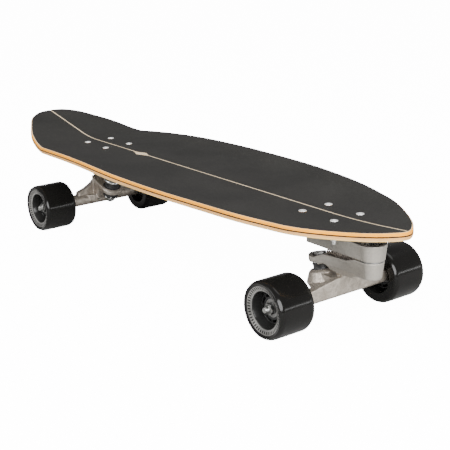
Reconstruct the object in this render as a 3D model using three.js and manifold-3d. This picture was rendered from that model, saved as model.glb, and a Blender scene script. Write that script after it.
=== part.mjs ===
// Surf skateboard: a ply deck with a round kicked tail on a swing-arm front truck and a kingpin rear truck.
// Millimetres, +X to the nose, +Y to the rider's left, +Z up, wheels standing on z = 0.
import * as THREE from "three";
import { mergeVertices } from "three/addons/utils/BufferGeometryUtils.js";
import Module from "manifold-3d";

const wasm = await Module();
wasm.setup();

// Sizes that many pieces share.
const seatGap = 0.3; // clearance between two faces that touch on the real board
const runGap = 0.4; // clearance round a piece that turns in a bore
const overrun = 2; // how far a cutting tool passes the face it cuts
const mergeDistance = 0.0005;

const wheel = {
  radius: 35, width: 51, outset: 1.4, lipRadius: 33, shoulder: 4, faceRadius: 30, faceDrop: 1.2,
  coneRadius: 22, coneDrop: 4.5, sides: 36,
};
const core = {
  radius: 18.5, width: 24, pocketRadius: 17, pocketDepth: 5.5, wall: 2.3, ribs: 8, ribWidth: 2.2,
};
const bearing = { outer: 22, width: 7, shieldDrop: 0.6, rimWall: 1.8, innerWall: 2, sides: 20 };
const axle = { diameter: 8, length: 222, washer: 1, nutFlats: 12.7, nutHeight: 6.5, sides: 12 };
const hangerLength = 150;
const truckHeight = 80.3; // axle centre up to the underside of the deck

const deck = {
  length: 817, width: 236, thickness: 9.8, edgeRound: 1.8, flatWidth: 62,
  kickBlend: 50, kickRun: 155, kickRise: 26.8, noseRun: 124, noseRise: 6.1,
  railRise: 10, railTailRun: 200, railTailInset: 143, railNoseRun: 274, railPower: 1.6,
};
const grip = { thickness: 0.6, holeRadius: 5.4 };
const bolts = { along: 54, across: 41.3, noseInset: 121.7, tailInset: 190.7 };
const boltMiddle = { front: deck.length / 2 - bolts.noseInset, rear: bolts.tailInset - deck.length / 2 };
const screw = {
  shank: 4.8, head: 9.5, headHeight: 3, crown: 0.6, proud: 0.9, length: 29, socket: 3.2,
  socketDepth: 1.8, hole: 5.6, nutFlats: 9.5, nutHeight: 5.2, sides: 8,
};

// Half the deck outline, tail to nose: share of the length, then share of half the width.
const outlineShares = [
  [0, 0], [0.003, 0.165], [0.012, 0.275], [0.026, 0.375], [0.053, 0.488], [0.109, 0.67], [0.198, 0.805],
  [0.32, 0.911], [0.467, 0.992], [0.553, 1], [0.639, 0.981], [0.713, 0.936], [0.787, 0.866],
  [0.836, 0.784], [0.885, 0.674], [0.958, 0.356], [0.9865, 0.169], [1, 0],
];

// The front truck. x runs from the middle of its bolts to the nose, z down from the deck's underside.
const pivotPlace = 67.7; // swing pivot ahead of the bolts
const base = {
  flangeLength: 74, flangeWidth: 57, flangeThickness: 6.5, flangeCorner: 8,
  depth: 28.6, rear: 31, corner: 4, crease: 37, halfWidth: 14.5, bossTop: 17.1, bossFoot: 15,
  rimDrop: 9.6, rimWall: 3.2, floor: 11,
};
const swingBolt = {
  diameter: 10, headRadius: 8, headHeight: 6, crownShare: 0.33, nutFlats: 15, nutHeight: 6,
  socket: 6, sides: 32,
};
const thrust = { radius: 14, bore: 10.8, thickness: 1.2 };
const arm = {
  halfWidth: 14, halfWidthFoot: 12.6, bossTop: 14.4, bossFoot: 12.2, bevel: 3, tail: 33, bossDepth: 14.5,
  bossFootDrop: 51.5, rimRear: 45.3, rimMid: 37.4, rimFront: 35.3, rimPlace: 38.7,
  soleRear: 53, soleFront: 56.2, frontPlace: 27, archPlace: 0, archDrop: 49.3, archRun: 16,
  cupBoss: 8.6, troughHalf: 10.6, troughCorner: 5, troughEnd: 54, springClear: 0.7,
  headClear: 9.4, nutClear: 9.2,
};
const spring = { radius: 5, wire: 2.2, start: -3, end: 45, drop: 35.5, curls: 14, lugRadius: 2.6 };

const frontKingpin = {
  ringX: -12.3, ringDrop: 68.3, lean: 14.5, up: 22.3, down: 22, ringHeight: 15, seatDepth: 3,
  upper: 9.9, lower: 7.5, barrelTop: 17.4, barrelFoot: 22, barrelDepth: 14, lip: 0,
};
const rearKingpin = {
  ringX: -1.8, ringDrop: 61.3, lean: 20, up: 47, down: 23, ringHeight: 10, seatDepth: 2,
  upper: 13, lower: 9.5, barrelTop: 17, barrelFoot: 17, barrelDepth: 5, lip: 1.4,
};
const kingpin = { diameter: 9.5, headFlats: 14.3, headHeight: 5, nutFlats: 14.3, nutHeight: 6.5 };
const ring = { ease: 3, bore: 8, seatRadius: 12.6, sides: 28 };
const bushing = { radius: 12, waist: 10.8, bore: 5.2, lowerRadius: 10, sides: 16 };
const cupWasher = { thickness: 1.2, flatShare: 0.9 };
const pivot = { tipRadius: 4.5, rootRadius: 6.2, cupWall: 1.8, cupDepth: 9, reach: 26, sides: 12 };
const frontPivot = { x: 38.7, drop: 49.3 };
const rearPivot = { x: 43.7, drop: 35.5 };
const beam = { radius: 9.4, endRadius: 8.6, shoulderPlace: 64, sides: 24 };
const frontBeam = {
  axleX: 10.5, faceAhead: 12.2, back: 7, toe: 5, peakHalf: 7, peakDrop: 62.5, shoulderHalf: 48,
  shoulderDrop: 69.3, endDrop: 72.5, endHalf: 7.8, soleDrop: 88.2, lipWidth: 4.5, neckHalf: 6,
  neckWidth: 14,
};
const rearBeam = {
  axleX: 31, webHalf: 46, webHeight: 37, webThickness: 10, neckHalf: 16, neckSole: 4, neckSoleRun: 9,
  neckCrest: 33, neckCrestRun: 5, neckEye: 4, shelfHalf: 36, shelfMid: 21, shelfRun: 14, shelfSole: 3,
  shelfHeight: 8,
};
// Half the rear web, peak to foot: share of its half width, then share of its height.
const webShares = [[0.13, 1], [0.25, 0.84], [0.4, 0.66], [0.62, 0.5], [0.93, 0.36], [1, 0]];
const rearBase = {
  length: 84, width: 57, corner: 8, thickness: 6.5, shift: 3, postFoot: 11.6, postTop: 15, cupBoss: 10,
  cupReach: 6, gussetOut: 4, gussetIn: 22, gussetWidth: 18, headClear: 9, sides: 32,
};

// Small makers of solids.
function closed(geometry) {
  const bare = geometry.index ? geometry.toNonIndexed() : geometry.clone();
  for (const key of Object.keys(bare.attributes)) if (key !== "position") bare.deleteAttribute(key);
  const merged = mergeVertices(bare, mergeDistance);
  const flat = [];
  const from = merged.index.array;
  for (let i = 0; i < from.length; i += 3) {
    const [a, b, c] = [from[i], from[i + 1], from[i + 2]];
    if (a !== b && b !== c && c !== a) flat.push(a, b, c);
  }
  merged.setIndex(flat);
  return merged;
}

function solid(geometry, ...places) {
  const merged = closed(geometry);
  for (const place of places) merged.applyMatrix4(place);
  const mesh = new wasm.Mesh({
    numProp: 3,
    vertProperties: new Float32Array(merged.attributes.position.array),
    triVerts: new Uint32Array(merged.index.array),
  });
  return new wasm.Manifold(mesh);
}

function geometryOf(body) {
  const mesh = body.getMesh();
  const geometry = new THREE.BufferGeometry();
  geometry.setAttribute("position", new THREE.BufferAttribute(mesh.vertProperties, 3));
  geometry.setIndex(new THREE.BufferAttribute(mesh.triVerts, 1));
  geometry.computeVertexNormals();
  return geometry;
}

function named(name, shape, material) {
  const geometry = shape.isBufferGeometry ? closed(shape) : geometryOf(shape);
  const mesh = new THREE.Mesh(geometry, material);
  mesh.name = name;
  return mesh;
}

const move = (x, y, z) => new THREE.Matrix4().makeTranslation(x, y, z);
const quarter = Math.PI / 2;
const upright = new THREE.Matrix4().makeRotationX(quarter); // turns a lathe's axis from Y to Z
const sideways = new THREE.Matrix4().makeRotationX(quarter); // an outline drawn in x and z, pushed along y
const frontal = new THREE.Matrix4().makeBasis(
  new THREE.Vector3(0, 1, 0), new THREE.Vector3(0, 0, 1), new THREE.Vector3(1, 0, 0),
); // an outline drawn in y and z, pushed along x
const tilt = (angle) => new THREE.Matrix4().makeRotationY(THREE.MathUtils.degToRad(angle));

// A turned piece: the profile is radius and height pairs, closed back on itself or on the axis.
function turned(profile, sides) {
  const points = profile.map(([radius, height]) => new THREE.Vector2(radius, height));
  return new THREE.LatheGeometry(points, sides, Math.PI / sides);
}
const cone = (foot, top, low, high, sides) =>
  turned([[0, low], [foot, low], [top, high], [0, high]], sides);
const rod = (radius, low, high, sides) => cone(radius, radius, low, high, sides);
const tube = (bore, radius, low, high, sides) =>
  turned([[bore, low], [radius, low], [radius, high], [bore, high], [bore, low]], sides);

function pushed(points, depth) {
  const outline = new THREE.Shape(points.map(([x, y]) => new THREE.Vector2(x, y)));
  return new THREE.ExtrudeGeometry(outline, { depth, bevelEnabled: false });
}
// An outline in x and z, as wide as width across y and centred on it.
const sideCut = (points, width) => solid(pushed(points, width), sideways, move(0, width / 2, 0));
// An outline in y and z, from place to place + depth along x.
const frontCut = (points, place, depth) => solid(pushed(points, depth), frontal, move(place, 0, 0));
// An outline in x and y, from low to high.
const planCut = (points, low, high) => solid(pushed(points, high - low), move(0, 0, low));

function arcPoints(x, y, radius, from, to, steps) {
  const points = [];
  for (let i = 0; i <= steps; i++) {
    const angle = from + ((to - from) * i) / steps;
    points.push([x + radius * Math.cos(angle), y + radius * Math.sin(angle)]);
  }
  return points;
}

function hexRod(flats, low, high) {
  const corner = flats / 2 / Math.cos(Math.PI / 6);
  return rod(corner, low, high, 6);
}

// Finishes.
const finish = (color, roughness, metalness) =>
  new THREE.MeshStandardMaterial({ color, roughness, metalness });
const maple = finish(0xe2bd86, 0.5, 0);
const gripSheet = finish(0x3c3a38, 0.95, 0);
const castAlloy = finish(0xaea79a, 0.45, 0.9);
const sandCast = finish(0xa79f92, 0.6, 0.9);
const steel = finish(0xc9c9c7, 0.3, 1);
const brightSteel = finish(0xdadad8, 0.2, 1);
const blackRubber = finish(0x1c1c1d, 0.6, 0);
const urethane = finish(0x0b0b0c, 0.18, 0);
const coreNylon = finish(0x141415, 0.35, 0);
const springSteel = finish(0x77756f, 0.35, 1);

// The deck.
const half = deck.width / 2;
const tailX = -deck.length / 2;
const noseX = deck.length / 2;

function outlineStations() {
  const upper = outlineShares.map(([x, y]) => new THREE.Vector3(tailX + x * deck.length, y * half, 0));
  const lower = upper.slice(1, -1).reverse().map((p) => new THREE.Vector3(p.x, -p.y, 0));
  const loop = new THREE.CatmullRomCurve3([...upper, ...lower], true, "centripetal");
  const spans = outlineShares.length - 1;
  const perSpan = 2; // rows of points between two pairs of shares
  const stations = [];
  for (let i = 0; i <= spans * perSpan; i++) {
    const point = loop.getPoint(i / perSpan / (upper.length + lower.length));
    stations.push({ x: point.x, half: Math.max(point.y, 0) });
  }
  stations[0] = { x: tailX, half: 0 };
  stations[spans * perSpan] = { x: noseX, half: 0 };
  return stations;
}

// Height of the deck's centre line over its flat middle.
function lineRise(x) {
  const back = tailX + deck.kickRun - x;
  const front = x - noseX + deck.noseRun;
  const slope = deck.kickRise / (deck.kickRun - deck.kickBlend / 2);
  if (back > deck.kickBlend) return slope * (back - deck.kickBlend / 2);
  if (back > 0) return (slope * back * back) / (2 * deck.kickBlend);
  if (front > 0) return deck.noseRise * (front / deck.noseRun) ** 2;
  return 0;
}

// How steeply the centre line rises towards the nose.
function lineSlope(x) {
  const back = tailX + deck.kickRun - x;
  const front = x - noseX + deck.noseRun;
  const kick = deck.kickRise / (deck.kickRun - deck.kickBlend / 2);
  if (back > 0) return -kick * Math.min(back / deck.kickBlend, 1);
  return (2 * deck.noseRise * Math.max(front, 0)) / deck.noseRun ** 2;
}

// Height of the rail over the centre line.
function railRise(x) {
  const fromTail = THREE.MathUtils.clamp((x - tailX - deck.railTailInset) / deck.railTailRun, 0, 1);
  const toNose = THREE.MathUtils.clamp((x - noseX + deck.railNoseRun) / deck.railNoseRun, 0, 1);
  return deck.railRise * (1 - (1 - fromTail) ** 2) * (1 - toNose ** deck.railPower);
}

// One sheet of the board, between two heights over the flat middle of the deck's underside.
// The grip ends where the deck's rounded edge begins, and both have the same facets.
function sheet(low, high, round) {
  const raiseShares = [1, 0.6];
  const flatCapShare = 0.5;
  const inset = deck.edgeRound - round;
  const rows = outlineStations().map(({ x, half: wide }) => {
    const along = THREE.MathUtils.clamp(x, tailX + inset, noseX - inset);
    const flat = Math.min(deck.flatWidth / 2, wide * flatCapShare);
    const heightAt = (y) => {
      const share = wide > flat ? Math.max(0, (y - flat) / (wide - flat)) : 0;
      return lineRise(along) + railRise(along) * share * share;
    };
    const inner = Math.max(wide - deck.edgeRound, flat);
    const edge = Math.max(wide - inset, inner);
    const ys = [...raiseShares.map((share) => flat + (inner - flat) * share), flat];
    const right = ys.map((y) => [-y, heightAt(y)]);
    const left = [...ys].reverse().map((y) => [y, heightAt(y)]);
    const across = [...right, ...left];
    const rail = heightAt(inner);
    // The edge stands square to the top, so the underside reaches further out at the kick.
    const at = (y, z, up) => [along - lineSlope(along) * up, y, z + up];
    return [
      ...across.map(([y, z]) => at(y, z, high)),
      at(edge, rail, high - round),
      at(edge, rail, low + round),
      ...[...across].reverse().map(([y, z]) => at(y, z, low)),
      at(-edge, rail, low + round),
      at(-edge, rail, high - round),
    ];
  });
  return loft(rows, rows[0].length / 2);
}

// A skin through rings of points. From point turnAt on, its facets are split along the other diagonal.
function loft(rows, turnAt = Infinity) {
  const count = rows[0].length;
  const positions = rows.flat(2);
  const index = [];
  for (let r = 0; r + 1 < rows.length; r++) {
    for (let i = 0; i < count; i++) {
      const a = r * count + i;
      const b = r * count + ((i + 1) % count);
      if (i < turnAt) index.push(a, a + count, b, b, a + count, b + count);
      else index.push(a, a + count, b + count, a, b + count, b);
    }
  }
  const geometry = new THREE.BufferGeometry();
  geometry.setAttribute("position", new THREE.Float32BufferAttribute(positions, 3));
  geometry.setIndex(index);
  return geometry;
}

const boltPlaces = ["front", "rear"].flatMap((truck) =>
  [[1, -1], [1, 1], [-1, -1], [-1, 1]].map(([x, y], i) => ({
    truck,
    number: i + 1,
    x: boltMiddle[truck] + (x * bolts.along) / 2,
    y: (y * bolts.across) / 2,
  })),
);

const gripTop = deck.thickness + seatGap + grip.thickness;
const headTop = gripTop + screw.proud; // over the deck's underside

function deckSolid() {
  let body = solid(sheet(0, deck.thickness, deck.edgeRound));
  const sink = headTop - screw.crown - screw.headHeight - seatGap;
  const wide = screw.head / 2 + seatGap;
  for (const place of boltPlaces) {
    const at = move(place.x, place.y, 0);
    const drill = turned([
      [0, -overrun], [screw.hole / 2, -overrun], [screw.hole / 2, sink],
      [wide, deck.thickness + seatGap], [wide, deck.thickness + overrun], [0, deck.thickness + overrun],
    ], screw.sides);
    body = body.subtract(solid(drill, upright, at));
  }
  return body;
}

function gripSolid() {
  const low = deck.thickness + seatGap;
  let body = solid(sheet(low, gripTop, 0));
  for (const place of boltPlaces) {
    const drill = rod(grip.holeRadius, low - overrun, gripTop + overrun, screw.sides);
    body = body.subtract(solid(drill, upright, move(place.x, place.y, 0)));
  }
  return body;
}

function screwSolid() {
  const neck = headTop - screw.crown - screw.headHeight;
  const body = turned([
    [0, headTop - screw.length], [screw.shank / 2, headTop - screw.length], [screw.shank / 2, neck],
    [screw.head / 2, headTop - screw.crown], [screw.head / 2 - screw.crown, headTop], [0, headTop],
  ], screw.sides);
  const socket = hexRod(screw.socket, headTop - screw.socketDepth, headTop + overrun);
  return solid(body, upright).subtract(solid(socket, upright));
}

function nutSolid(flats, height, bore) {
  const sides = 6;
  return solid(hexRod(flats, 0, height), upright).subtract(
    solid(rod(bore / Math.cos(Math.PI / sides), -overrun, height + overrun, sides), upright),
  );
}

// The wheels, turned about Y with a flat of the tread underneath.
const treadRadius = wheel.radius / Math.cos(Math.PI / wheel.sides);
const coreLow = axle.washer; // the core starts a washer's thickness out from the hanger's end

function tyreGeometry() {
  const low = coreLow + core.width / 2 + wheel.outset - wheel.width / 2;
  const high = low + wheel.width;
  const coreHigh = coreLow + core.width;
  const inner = core.radius + seatGap;
  return turned([
    [inner, coreLow], [wheel.coneRadius, low + wheel.faceDrop], [wheel.lipRadius, low],
    [treadRadius, low + wheel.shoulder], [treadRadius, high - wheel.shoulder],
    [wheel.lipRadius, high], [wheel.faceRadius, high - wheel.faceDrop],
    [wheel.coneRadius, high - wheel.coneDrop], [inner, coreHigh], [inner, coreLow],
  ], wheel.sides);
}

function coreSolid() {
  const seat = bearing.outer / 2 + seatGap;
  const high = coreLow + core.width;
  let body = solid(tube(seat, core.radius, coreLow, high, bearing.sides));
  const inner = seat + core.wall;
  const outer = core.pocketRadius;
  for (const low of [coreLow - overrun, high - core.pocketDepth]) {
    const depth = core.pocketDepth + overrun;
    for (let i = 0; i < core.ribs; i++) {
      const middle = (2 * Math.PI * i) / core.ribs;
      const span = (radius) => Math.PI / core.ribs - core.ribWidth / 2 / radius;
      const points = [
        ...arcPoints(0, 0, inner, middle - span(inner), middle + span(inner), 1),
        ...arcPoints(0, 0, outer, middle + span(outer), middle - span(outer), 1),
      ];
      const pocket = solid(pushed(points.reverse(), depth), move(0, 0, -low - depth), upright);
      body = body.subtract(pocket);
    }
  }
  return body;
}

function bearingGeometry() {
  const outer = bearing.outer / 2;
  const bore = axle.diameter / 2 + runGap / 2;
  const high = coreLow + core.width;
  const shieldOuter = outer - bearing.rimWall;
  const shieldInner = bore + bearing.innerWall;
  const drop = bearing.shieldDrop;
  return turned([
    [bore, coreLow], [shieldInner, coreLow], [shieldInner, coreLow + drop], [shieldOuter, coreLow + drop],
    [shieldOuter, coreLow], [outer, coreLow], [outer, coreLow + bearing.width],
    [shieldInner, coreLow + bearing.width], [shieldInner, high - bearing.width],
    [outer, high - bearing.width], [outer, high],
    [shieldOuter, high], [shieldOuter, high - drop], [shieldInner, high - drop],
    [shieldInner, high], [bore, high], [bore, coreLow],
  ], bearing.sides);
}

function wheelGroup(label, side) {
  const group = new THREE.Group();
  group.position.y = (side * hangerLength) / 2;
  if (side < 0) group.rotation.z = Math.PI;
  group.add(named(label + "_tyre", tyreGeometry(), urethane));
  group.add(named(label + "_core", coreSolid(), coreNylon));
  group.add(named(label + "_bearings", bearingGeometry(), brightSteel));
  const nutShape = nutSolid(axle.nutFlats, axle.nutHeight, axle.diameter / 2 + seatGap);
  const nut = named(label + "_axle_nut", nutShape, steel);
  nut.rotation.x = -quarter;
  nut.position.y = coreLow + core.width + seatGap;
  group.add(nut);
  return group;
}

// What both trucks share, in a frame with x along the truck and z down from the deck.
function kingpinFrame(place) {
  const group = new THREE.Group();
  group.position.set(place.ringX, 0, -place.ringDrop);
  group.rotation.y = -THREE.MathUtils.degToRad(place.lean);
  return group;
}

function bushingGeometry(radius, low, height) {
  const high = low + height;
  const waist = (radius * bushing.waist) / bushing.radius;
  return turned([
    [bushing.bore, low], [radius, low], [waist, (low + high) / 2], [radius, high],
    [bushing.bore, high], [bushing.bore, low],
  ], bushing.sides);
}

// A cup washer, whose lip goes round the end of a bushing; with no lip it is flat.
const washerReach = (radius) => radius + seatGap + cupWasher.thickness;

function washerGeometry(radius, seat, away, lip) {
  const bore = bushing.bore;
  const t = cupWasher.thickness;
  const far = seat + away * t;
  const inner = lip ? radius + seatGap : radius * cupWasher.flatShare;
  const rim = [[washerReach(radius), seat - away * lip], [inner, seat - away * lip]];
  const edge = lip ? rim : [];
  const profile = [[bore, far], [inner, far], ...edge, [inner, seat], [bore, seat], [bore, far]];
  return turned(away < 0 ? profile : profile.reverse(), bushing.sides);
}

function kingpinStack(label, place) {
  const group = kingpinFrame(place);
  const { seat } = stackHeights(place);
  const upperTop = seat + place.upper;
  const lowerFoot = -seat - place.lower;
  const upperSteel = upperTop + seatGap;
  const lowerSteel = lowerFoot - seatGap;
  const radius = kingpin.diameter / 2;
  const shank = rod(radius, -place.down, place.up, axle.sides);
  const head = hexRod(kingpin.headFlats, place.up - seatGap, place.up + kingpin.headHeight);
  const pin = solid(shank, upright).add(solid(head, upright));
  const upperBushing = bushingGeometry(bushing.radius, seat, place.upper);
  const lowerBushing = bushingGeometry(bushing.lowerRadius, lowerFoot, place.lower);
  const upperWasher = washerGeometry(bushing.radius, upperSteel, 1, place.lip);
  const lowerWasher = washerGeometry(bushing.lowerRadius, lowerSteel, -1, place.lip);
  const nutShape = nutSolid(kingpin.nutFlats, kingpin.nutHeight, radius + seatGap);
  const nut = named(label + "_kingpin_nut", nutShape, steel);
  nut.position.z = lowerSteel - cupWasher.thickness - seatGap - kingpin.nutHeight;
  group.add(nut);
  group.add(named(label + "_kingpin", pin, steel));
  group.add(named(label + "_upper_bushing", turnUp(upperBushing), blackRubber));
  group.add(named(label + "_lower_bushing", turnUp(lowerBushing), blackRubber));
  group.add(named(label + "_upper_washer", turnUp(upperWasher), brightSteel));
  group.add(named(label + "_lower_washer", turnUp(lowerWasher), brightSteel));
  return group;
}

function turnUp(geometry) {
  return geometry.applyMatrix4(upright);
}

// Stands a lathed piece on the steering axis, which runs from the middle of the ring to the
// pivot's tip, with z = 0 at the tip.
function alongSteering(place, tip) {
  const fromUpright = Math.atan2(tip.x - place.ringX, place.ringDrop - tip.drop);
  return [upright, tilt(THREE.MathUtils.radToDeg(fromUpright)), move(tip.x, 0, -tip.drop)];
}

function pivotCup(label, place, tip) {
  const outer = pivot.tipRadius + seatGap + pivot.cupWall;
  const bore = pivot.tipRadius + seatGap;
  const cup = turned([
    [0, seatGap], [bore, seatGap], [bore, -pivot.cupDepth], [outer, -pivot.cupDepth],
    [outer, seatGap + pivot.cupWall], [0, seatGap + pivot.cupWall],
  ], pivot.sides);
  return named(label + "_pivot_cup", solid(cup, ...alongSteering(place, tip)), blackRubber);
}
const cupBore = pivot.tipRadius + pivot.cupWall + 2 * seatGap;

// The front truck's base, which carries the swing pivot.
const baseTop = -seatGap;
const baseFoot = baseTop - base.depth;
const bossFloor = baseFoot + base.floor; // the pivot bolt's head stands here
const armTop = baseFoot - thrust.thickness - 2 * seatGap;

// A long outline with a round front, in x and y: square corners cut off at the rear.
function hullOutline(rear, corner, halfWidth, crease, front, noseRadius, steps) {
  return [
    [rear, corner - halfWidth], [rear + corner, -halfWidth], [crease, -halfWidth],
    ...arcPoints(front, 0, noseRadius, -quarter, quarter, steps),
    [crease, halfWidth], [rear + corner, halfWidth], [rear, halfWidth - corner],
  ];
}

// A solid through flat outlines at rising heights, all with as many points.
function stacked(layers) {
  const rows = layers.map(({ points, z }) => points.map(([x, y]) => [x, y, z]));
  const geometry = loft(rows);
  const index = Array.from(geometry.index.array);
  for (let i = 0; i < index.length; i += 3) [index[i + 1], index[i + 2]] = [index[i + 2], index[i + 1]];
  const cap = (points, first, flip) => {
    const contour = points.map(([x, y]) => new THREE.Vector2(x, y));
    for (const [a, b, c] of THREE.ShapeUtils.triangulateShape(contour, [])) {
      index.push(...(flip ? [first + a, first + c, first + b] : [first + a, first + b, first + c]));
    }
  };
  cap(layers[0].points, 0, true);
  cap(layers.at(-1).points, (layers.length - 1) * layers[0].points.length, false);
  geometry.setIndex(index);
  return solid(geometry);
}

function roundedPlate(length, width, corner, low, high) {
  const x = length / 2 - corner;
  const y = width / 2 - corner;
  const steps = 4;
  return planCut([
    ...arcPoints(x, y, corner, 0, quarter, steps),
    ...arcPoints(-x, y, corner, quarter, 2 * quarter, steps),
    ...arcPoints(-x, -y, corner, 2 * quarter, 3 * quarter, steps),
    ...arcPoints(x, -y, corner, 3 * quarter, 4 * quarter, steps),
  ], low, high);
}

function boltHoles(low, high) {
  const drill = rod(screw.hole / 2, low, high, screw.sides);
  return boltPlaces.filter((place) => place.truck === "front").map((place) =>
    solid(drill, upright, move(place.x - boltMiddle.front, place.y, 0)),
  );
}

function frontBase() {
  const flangeFoot = baseTop - base.flangeThickness;
  const steps = 16;
  const outline = (radius) =>
    hullOutline(-base.rear, base.corner, base.halfWidth, base.crease, pivotPlace, radius, steps);
  let body = stacked([
    { points: outline(base.bossFoot), z: baseFoot },
    { points: outline(base.bossTop), z: -base.rimDrop },
  ]);
  const flange = [base.flangeLength, base.flangeWidth, base.flangeCorner];
  body = body.add(roundedPlate(...flange, flangeFoot, baseTop));
  const neck = [
    [-base.rear, baseTop - seatGap], [base.crease, baseTop - seatGap],
    [base.crease, -base.rimDrop - seatGap], [-base.rear, -base.rimDrop - seatGap],
  ];
  body = body.add(sideCut(neck, 2 * base.halfWidth));
  const sides = swingBolt.sides;
  const wall = base.rimWall;
  const pocket = cone(base.bossFoot - wall, base.bossTop - wall, bossFloor, baseTop + overrun, sides);
  body = body.subtract(solid(pocket, upright, move(pivotPlace, 0, 0)));
  const bore = rod(swingBolt.diameter / 2 + runGap, baseFoot - overrun, bossFloor + overrun, sides);
  body = body.subtract(solid(bore, upright, move(pivotPlace, 0, 0)));
  const lug = rod(spring.lugRadius, -spring.drop - spring.radius / 2, baseFoot + overrun, axle.sides);
  body = body.add(solid(lug, upright, move(spring.end + spring.lugRadius + 2 * seatGap, 0, 0)));
  for (const hole of boltHoles(flangeFoot - overrun, baseTop + overrun)) body = body.subtract(hole);
  return body;
}

// The swing arm: a trough for the spring between the pivot boss and the kingpin's eye.
function kingpinAxis(place) {
  return [upright, tilt(-place.lean), move(place.ringX, 0, -place.ringDrop)];
}

function stackHeights(place) {
  const seat = place.ringHeight / 2 - place.seatDepth + seatGap;
  const washerTop = seat + place.upper + seatGap + cupWasher.thickness;
  return { seat, washerTop };
}

function frontArm() {
  const rim = [
    [-arm.tail, -arm.rimRear], [-arm.tail / 2, -arm.rimRear], [0, -arm.rimMid],
    [arm.rimPlace, -arm.rimFront], [pivotPlace - arm.bossTop, armTop], [pivotPlace + arm.bossTop, armTop],
  ];
  const sole = [
    [pivotPlace + arm.bossTop, -arm.bossFootDrop], [pivotPlace - arm.bossFoot, -arm.bossFootDrop],
    [arm.frontPlace + arm.archRun, -arm.soleFront], [arm.frontPlace, -arm.soleFront],
    ...arcPoints(arm.archPlace, -arm.archDrop - arm.archRun, arm.archRun, quarter / 2, quarter, 3),
    [arm.archPlace - arm.archRun / 2, -arm.soleRear], [-arm.tail, -arm.soleRear - seatGap],
  ];
  const steps = 16;
  const outline = (halfWidth, boss) => [
    ...arcPoints(-arm.tail + arm.halfWidth, 0, halfWidth, 3 * quarter, quarter, steps),
    ...arcPoints(pivotPlace, 0, boss, quarter, -quarter, steps),
  ].reverse();
  let body = stacked([
    { points: outline(arm.halfWidthFoot, arm.bossFoot - arm.bevel), z: -arm.soleFront - overrun },
    { points: outline(arm.halfWidth, arm.bossFoot), z: -arm.bossFootDrop + arm.bevel },
    { points: outline(arm.halfWidth, arm.bossTop), z: armTop },
  ]);
  body = body.intersect(sideCut([...rim, ...sole].reverse(), 3 * arm.halfWidth));
  const far = arm.soleFront * 2;
  const along = alongSteering(frontKingpin, frontPivot);
  body = body.add(solid(rod(arm.cupBoss, -pivot.cupDepth, 0, swingBolt.sides), ...along));
  // The trough: its front is wide enough for the base's lug as the arm swings.
  const troughFloor = -spring.drop - spring.radius - arm.springClear;
  const endX = arm.troughEnd - arm.troughCorner;
  const endY = arm.troughHalf - arm.troughCorner;
  const trough = [
    ...arcPoints(spring.start + arm.troughHalf - seatGap, 0, arm.troughHalf, quarter, 3 * quarter, 6),
    ...arcPoints(endX, -endY, arm.troughCorner, 3 * quarter, 4 * quarter, 3),
    ...arcPoints(endX, endY, arm.troughCorner, 0, quarter, 3),
  ];
  body = body.subtract(planCut(trough, troughFloor, armTop + overrun));
  // The kingpin: its hole, the flat it hangs from and the flat its washer bears on.
  const sides = swingBolt.sides;
  const at = kingpinAxis(frontKingpin);
  const washerSeat = stackHeights(frontKingpin).washerTop + seatGap;
  body = body.subtract(solid(rod(kingpin.diameter / 2 + seatGap, 0, frontKingpin.up, axle.sides), ...at));
  body = body.subtract(solid(rod(arm.headClear, frontKingpin.up - seatGap, far, sides), ...at));
  body = body.subtract(solid(rod(washerReach(bushing.radius) + runGap, 0, washerSeat, sides), ...at));
  // The cup's socket and the swing bolt's bore and nut recess.
  body = body.subtract(solid(rod(cupBore, -far, pivot.cupWall + 2 * seatGap, pivot.sides), ...along));
  const bolt = move(pivotPlace, 0, 0);
  const nutSeat = armTop - arm.bossDepth;
  body = body.subtract(solid(rod(swingBolt.diameter / 2 + seatGap, -far, 0, sides), upright, bolt));
  return body.subtract(solid(rod(arm.nutClear, -far, nutSeat, sides), upright, bolt));
}

function swingBoltSolid() {
  const head = bossFloor + seatGap;
  const foot = armTop - arm.bossDepth - seatGap - swingBolt.nutHeight;
  const top = head + swingBolt.headHeight;
  const crown = swingBolt.headHeight * swingBolt.crownShare;
  const profile = [
    [0, foot], [swingBolt.diameter / 2, foot], [swingBolt.diameter / 2, head], [swingBolt.headRadius, head],
    [swingBolt.headRadius, top - crown], [swingBolt.headRadius - crown, top], [0, top],
  ];
  const socket = hexRod(swingBolt.socket, head + crown, top + overrun);
  return solid(turned(profile, swingBolt.sides), upright).subtract(solid(socket, upright));
}

// The coil spring, one unbroken wire from its seat in the arm to the base's lug.
function springGeometry() {
  const stepsPerCurl = 8;
  const wireSides = 5;
  const middle = spring.radius - spring.wire / 2;
  const steps = spring.curls * stepsPerCurl;
  const run = spring.end - spring.start - spring.wire;
  const rows = [];
  for (let i = 0; i <= steps; i++) {
    const turn = (2 * Math.PI * i) / stepsPerCurl;
    const x = spring.start + spring.wire / 2 + (run * i) / steps;
    const ringPoints = [];
    for (let k = 0; k < wireSides; k++) {
      const angle = (2 * Math.PI * k) / wireSides;
      const radius = middle + (spring.wire / 2) * Math.cos(angle);
      const along = x + (spring.wire / 2) * Math.sin(angle);
      ringPoints.push([along, radius * Math.cos(turn), radius * Math.sin(turn) - spring.drop]);
    }
    rows.push(ringPoints);
  }
  return { geometry: cappedLoft(rows), gap: run / spring.curls - spring.wire };
}

// A loft whose two end rings are closed by a fan.
function cappedLoft(rows) {
  const geometry = loft(rows);
  const count = rows[0].length;
  const last = (rows.length - 1) * count;
  const index = Array.from(geometry.index.array);
  for (let i = 1; i + 1 < count; i++) index.push(0, i, i + 1, last, last + i + 1, last + i);
  geometry.setIndex(index);
  return geometry;
}

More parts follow.
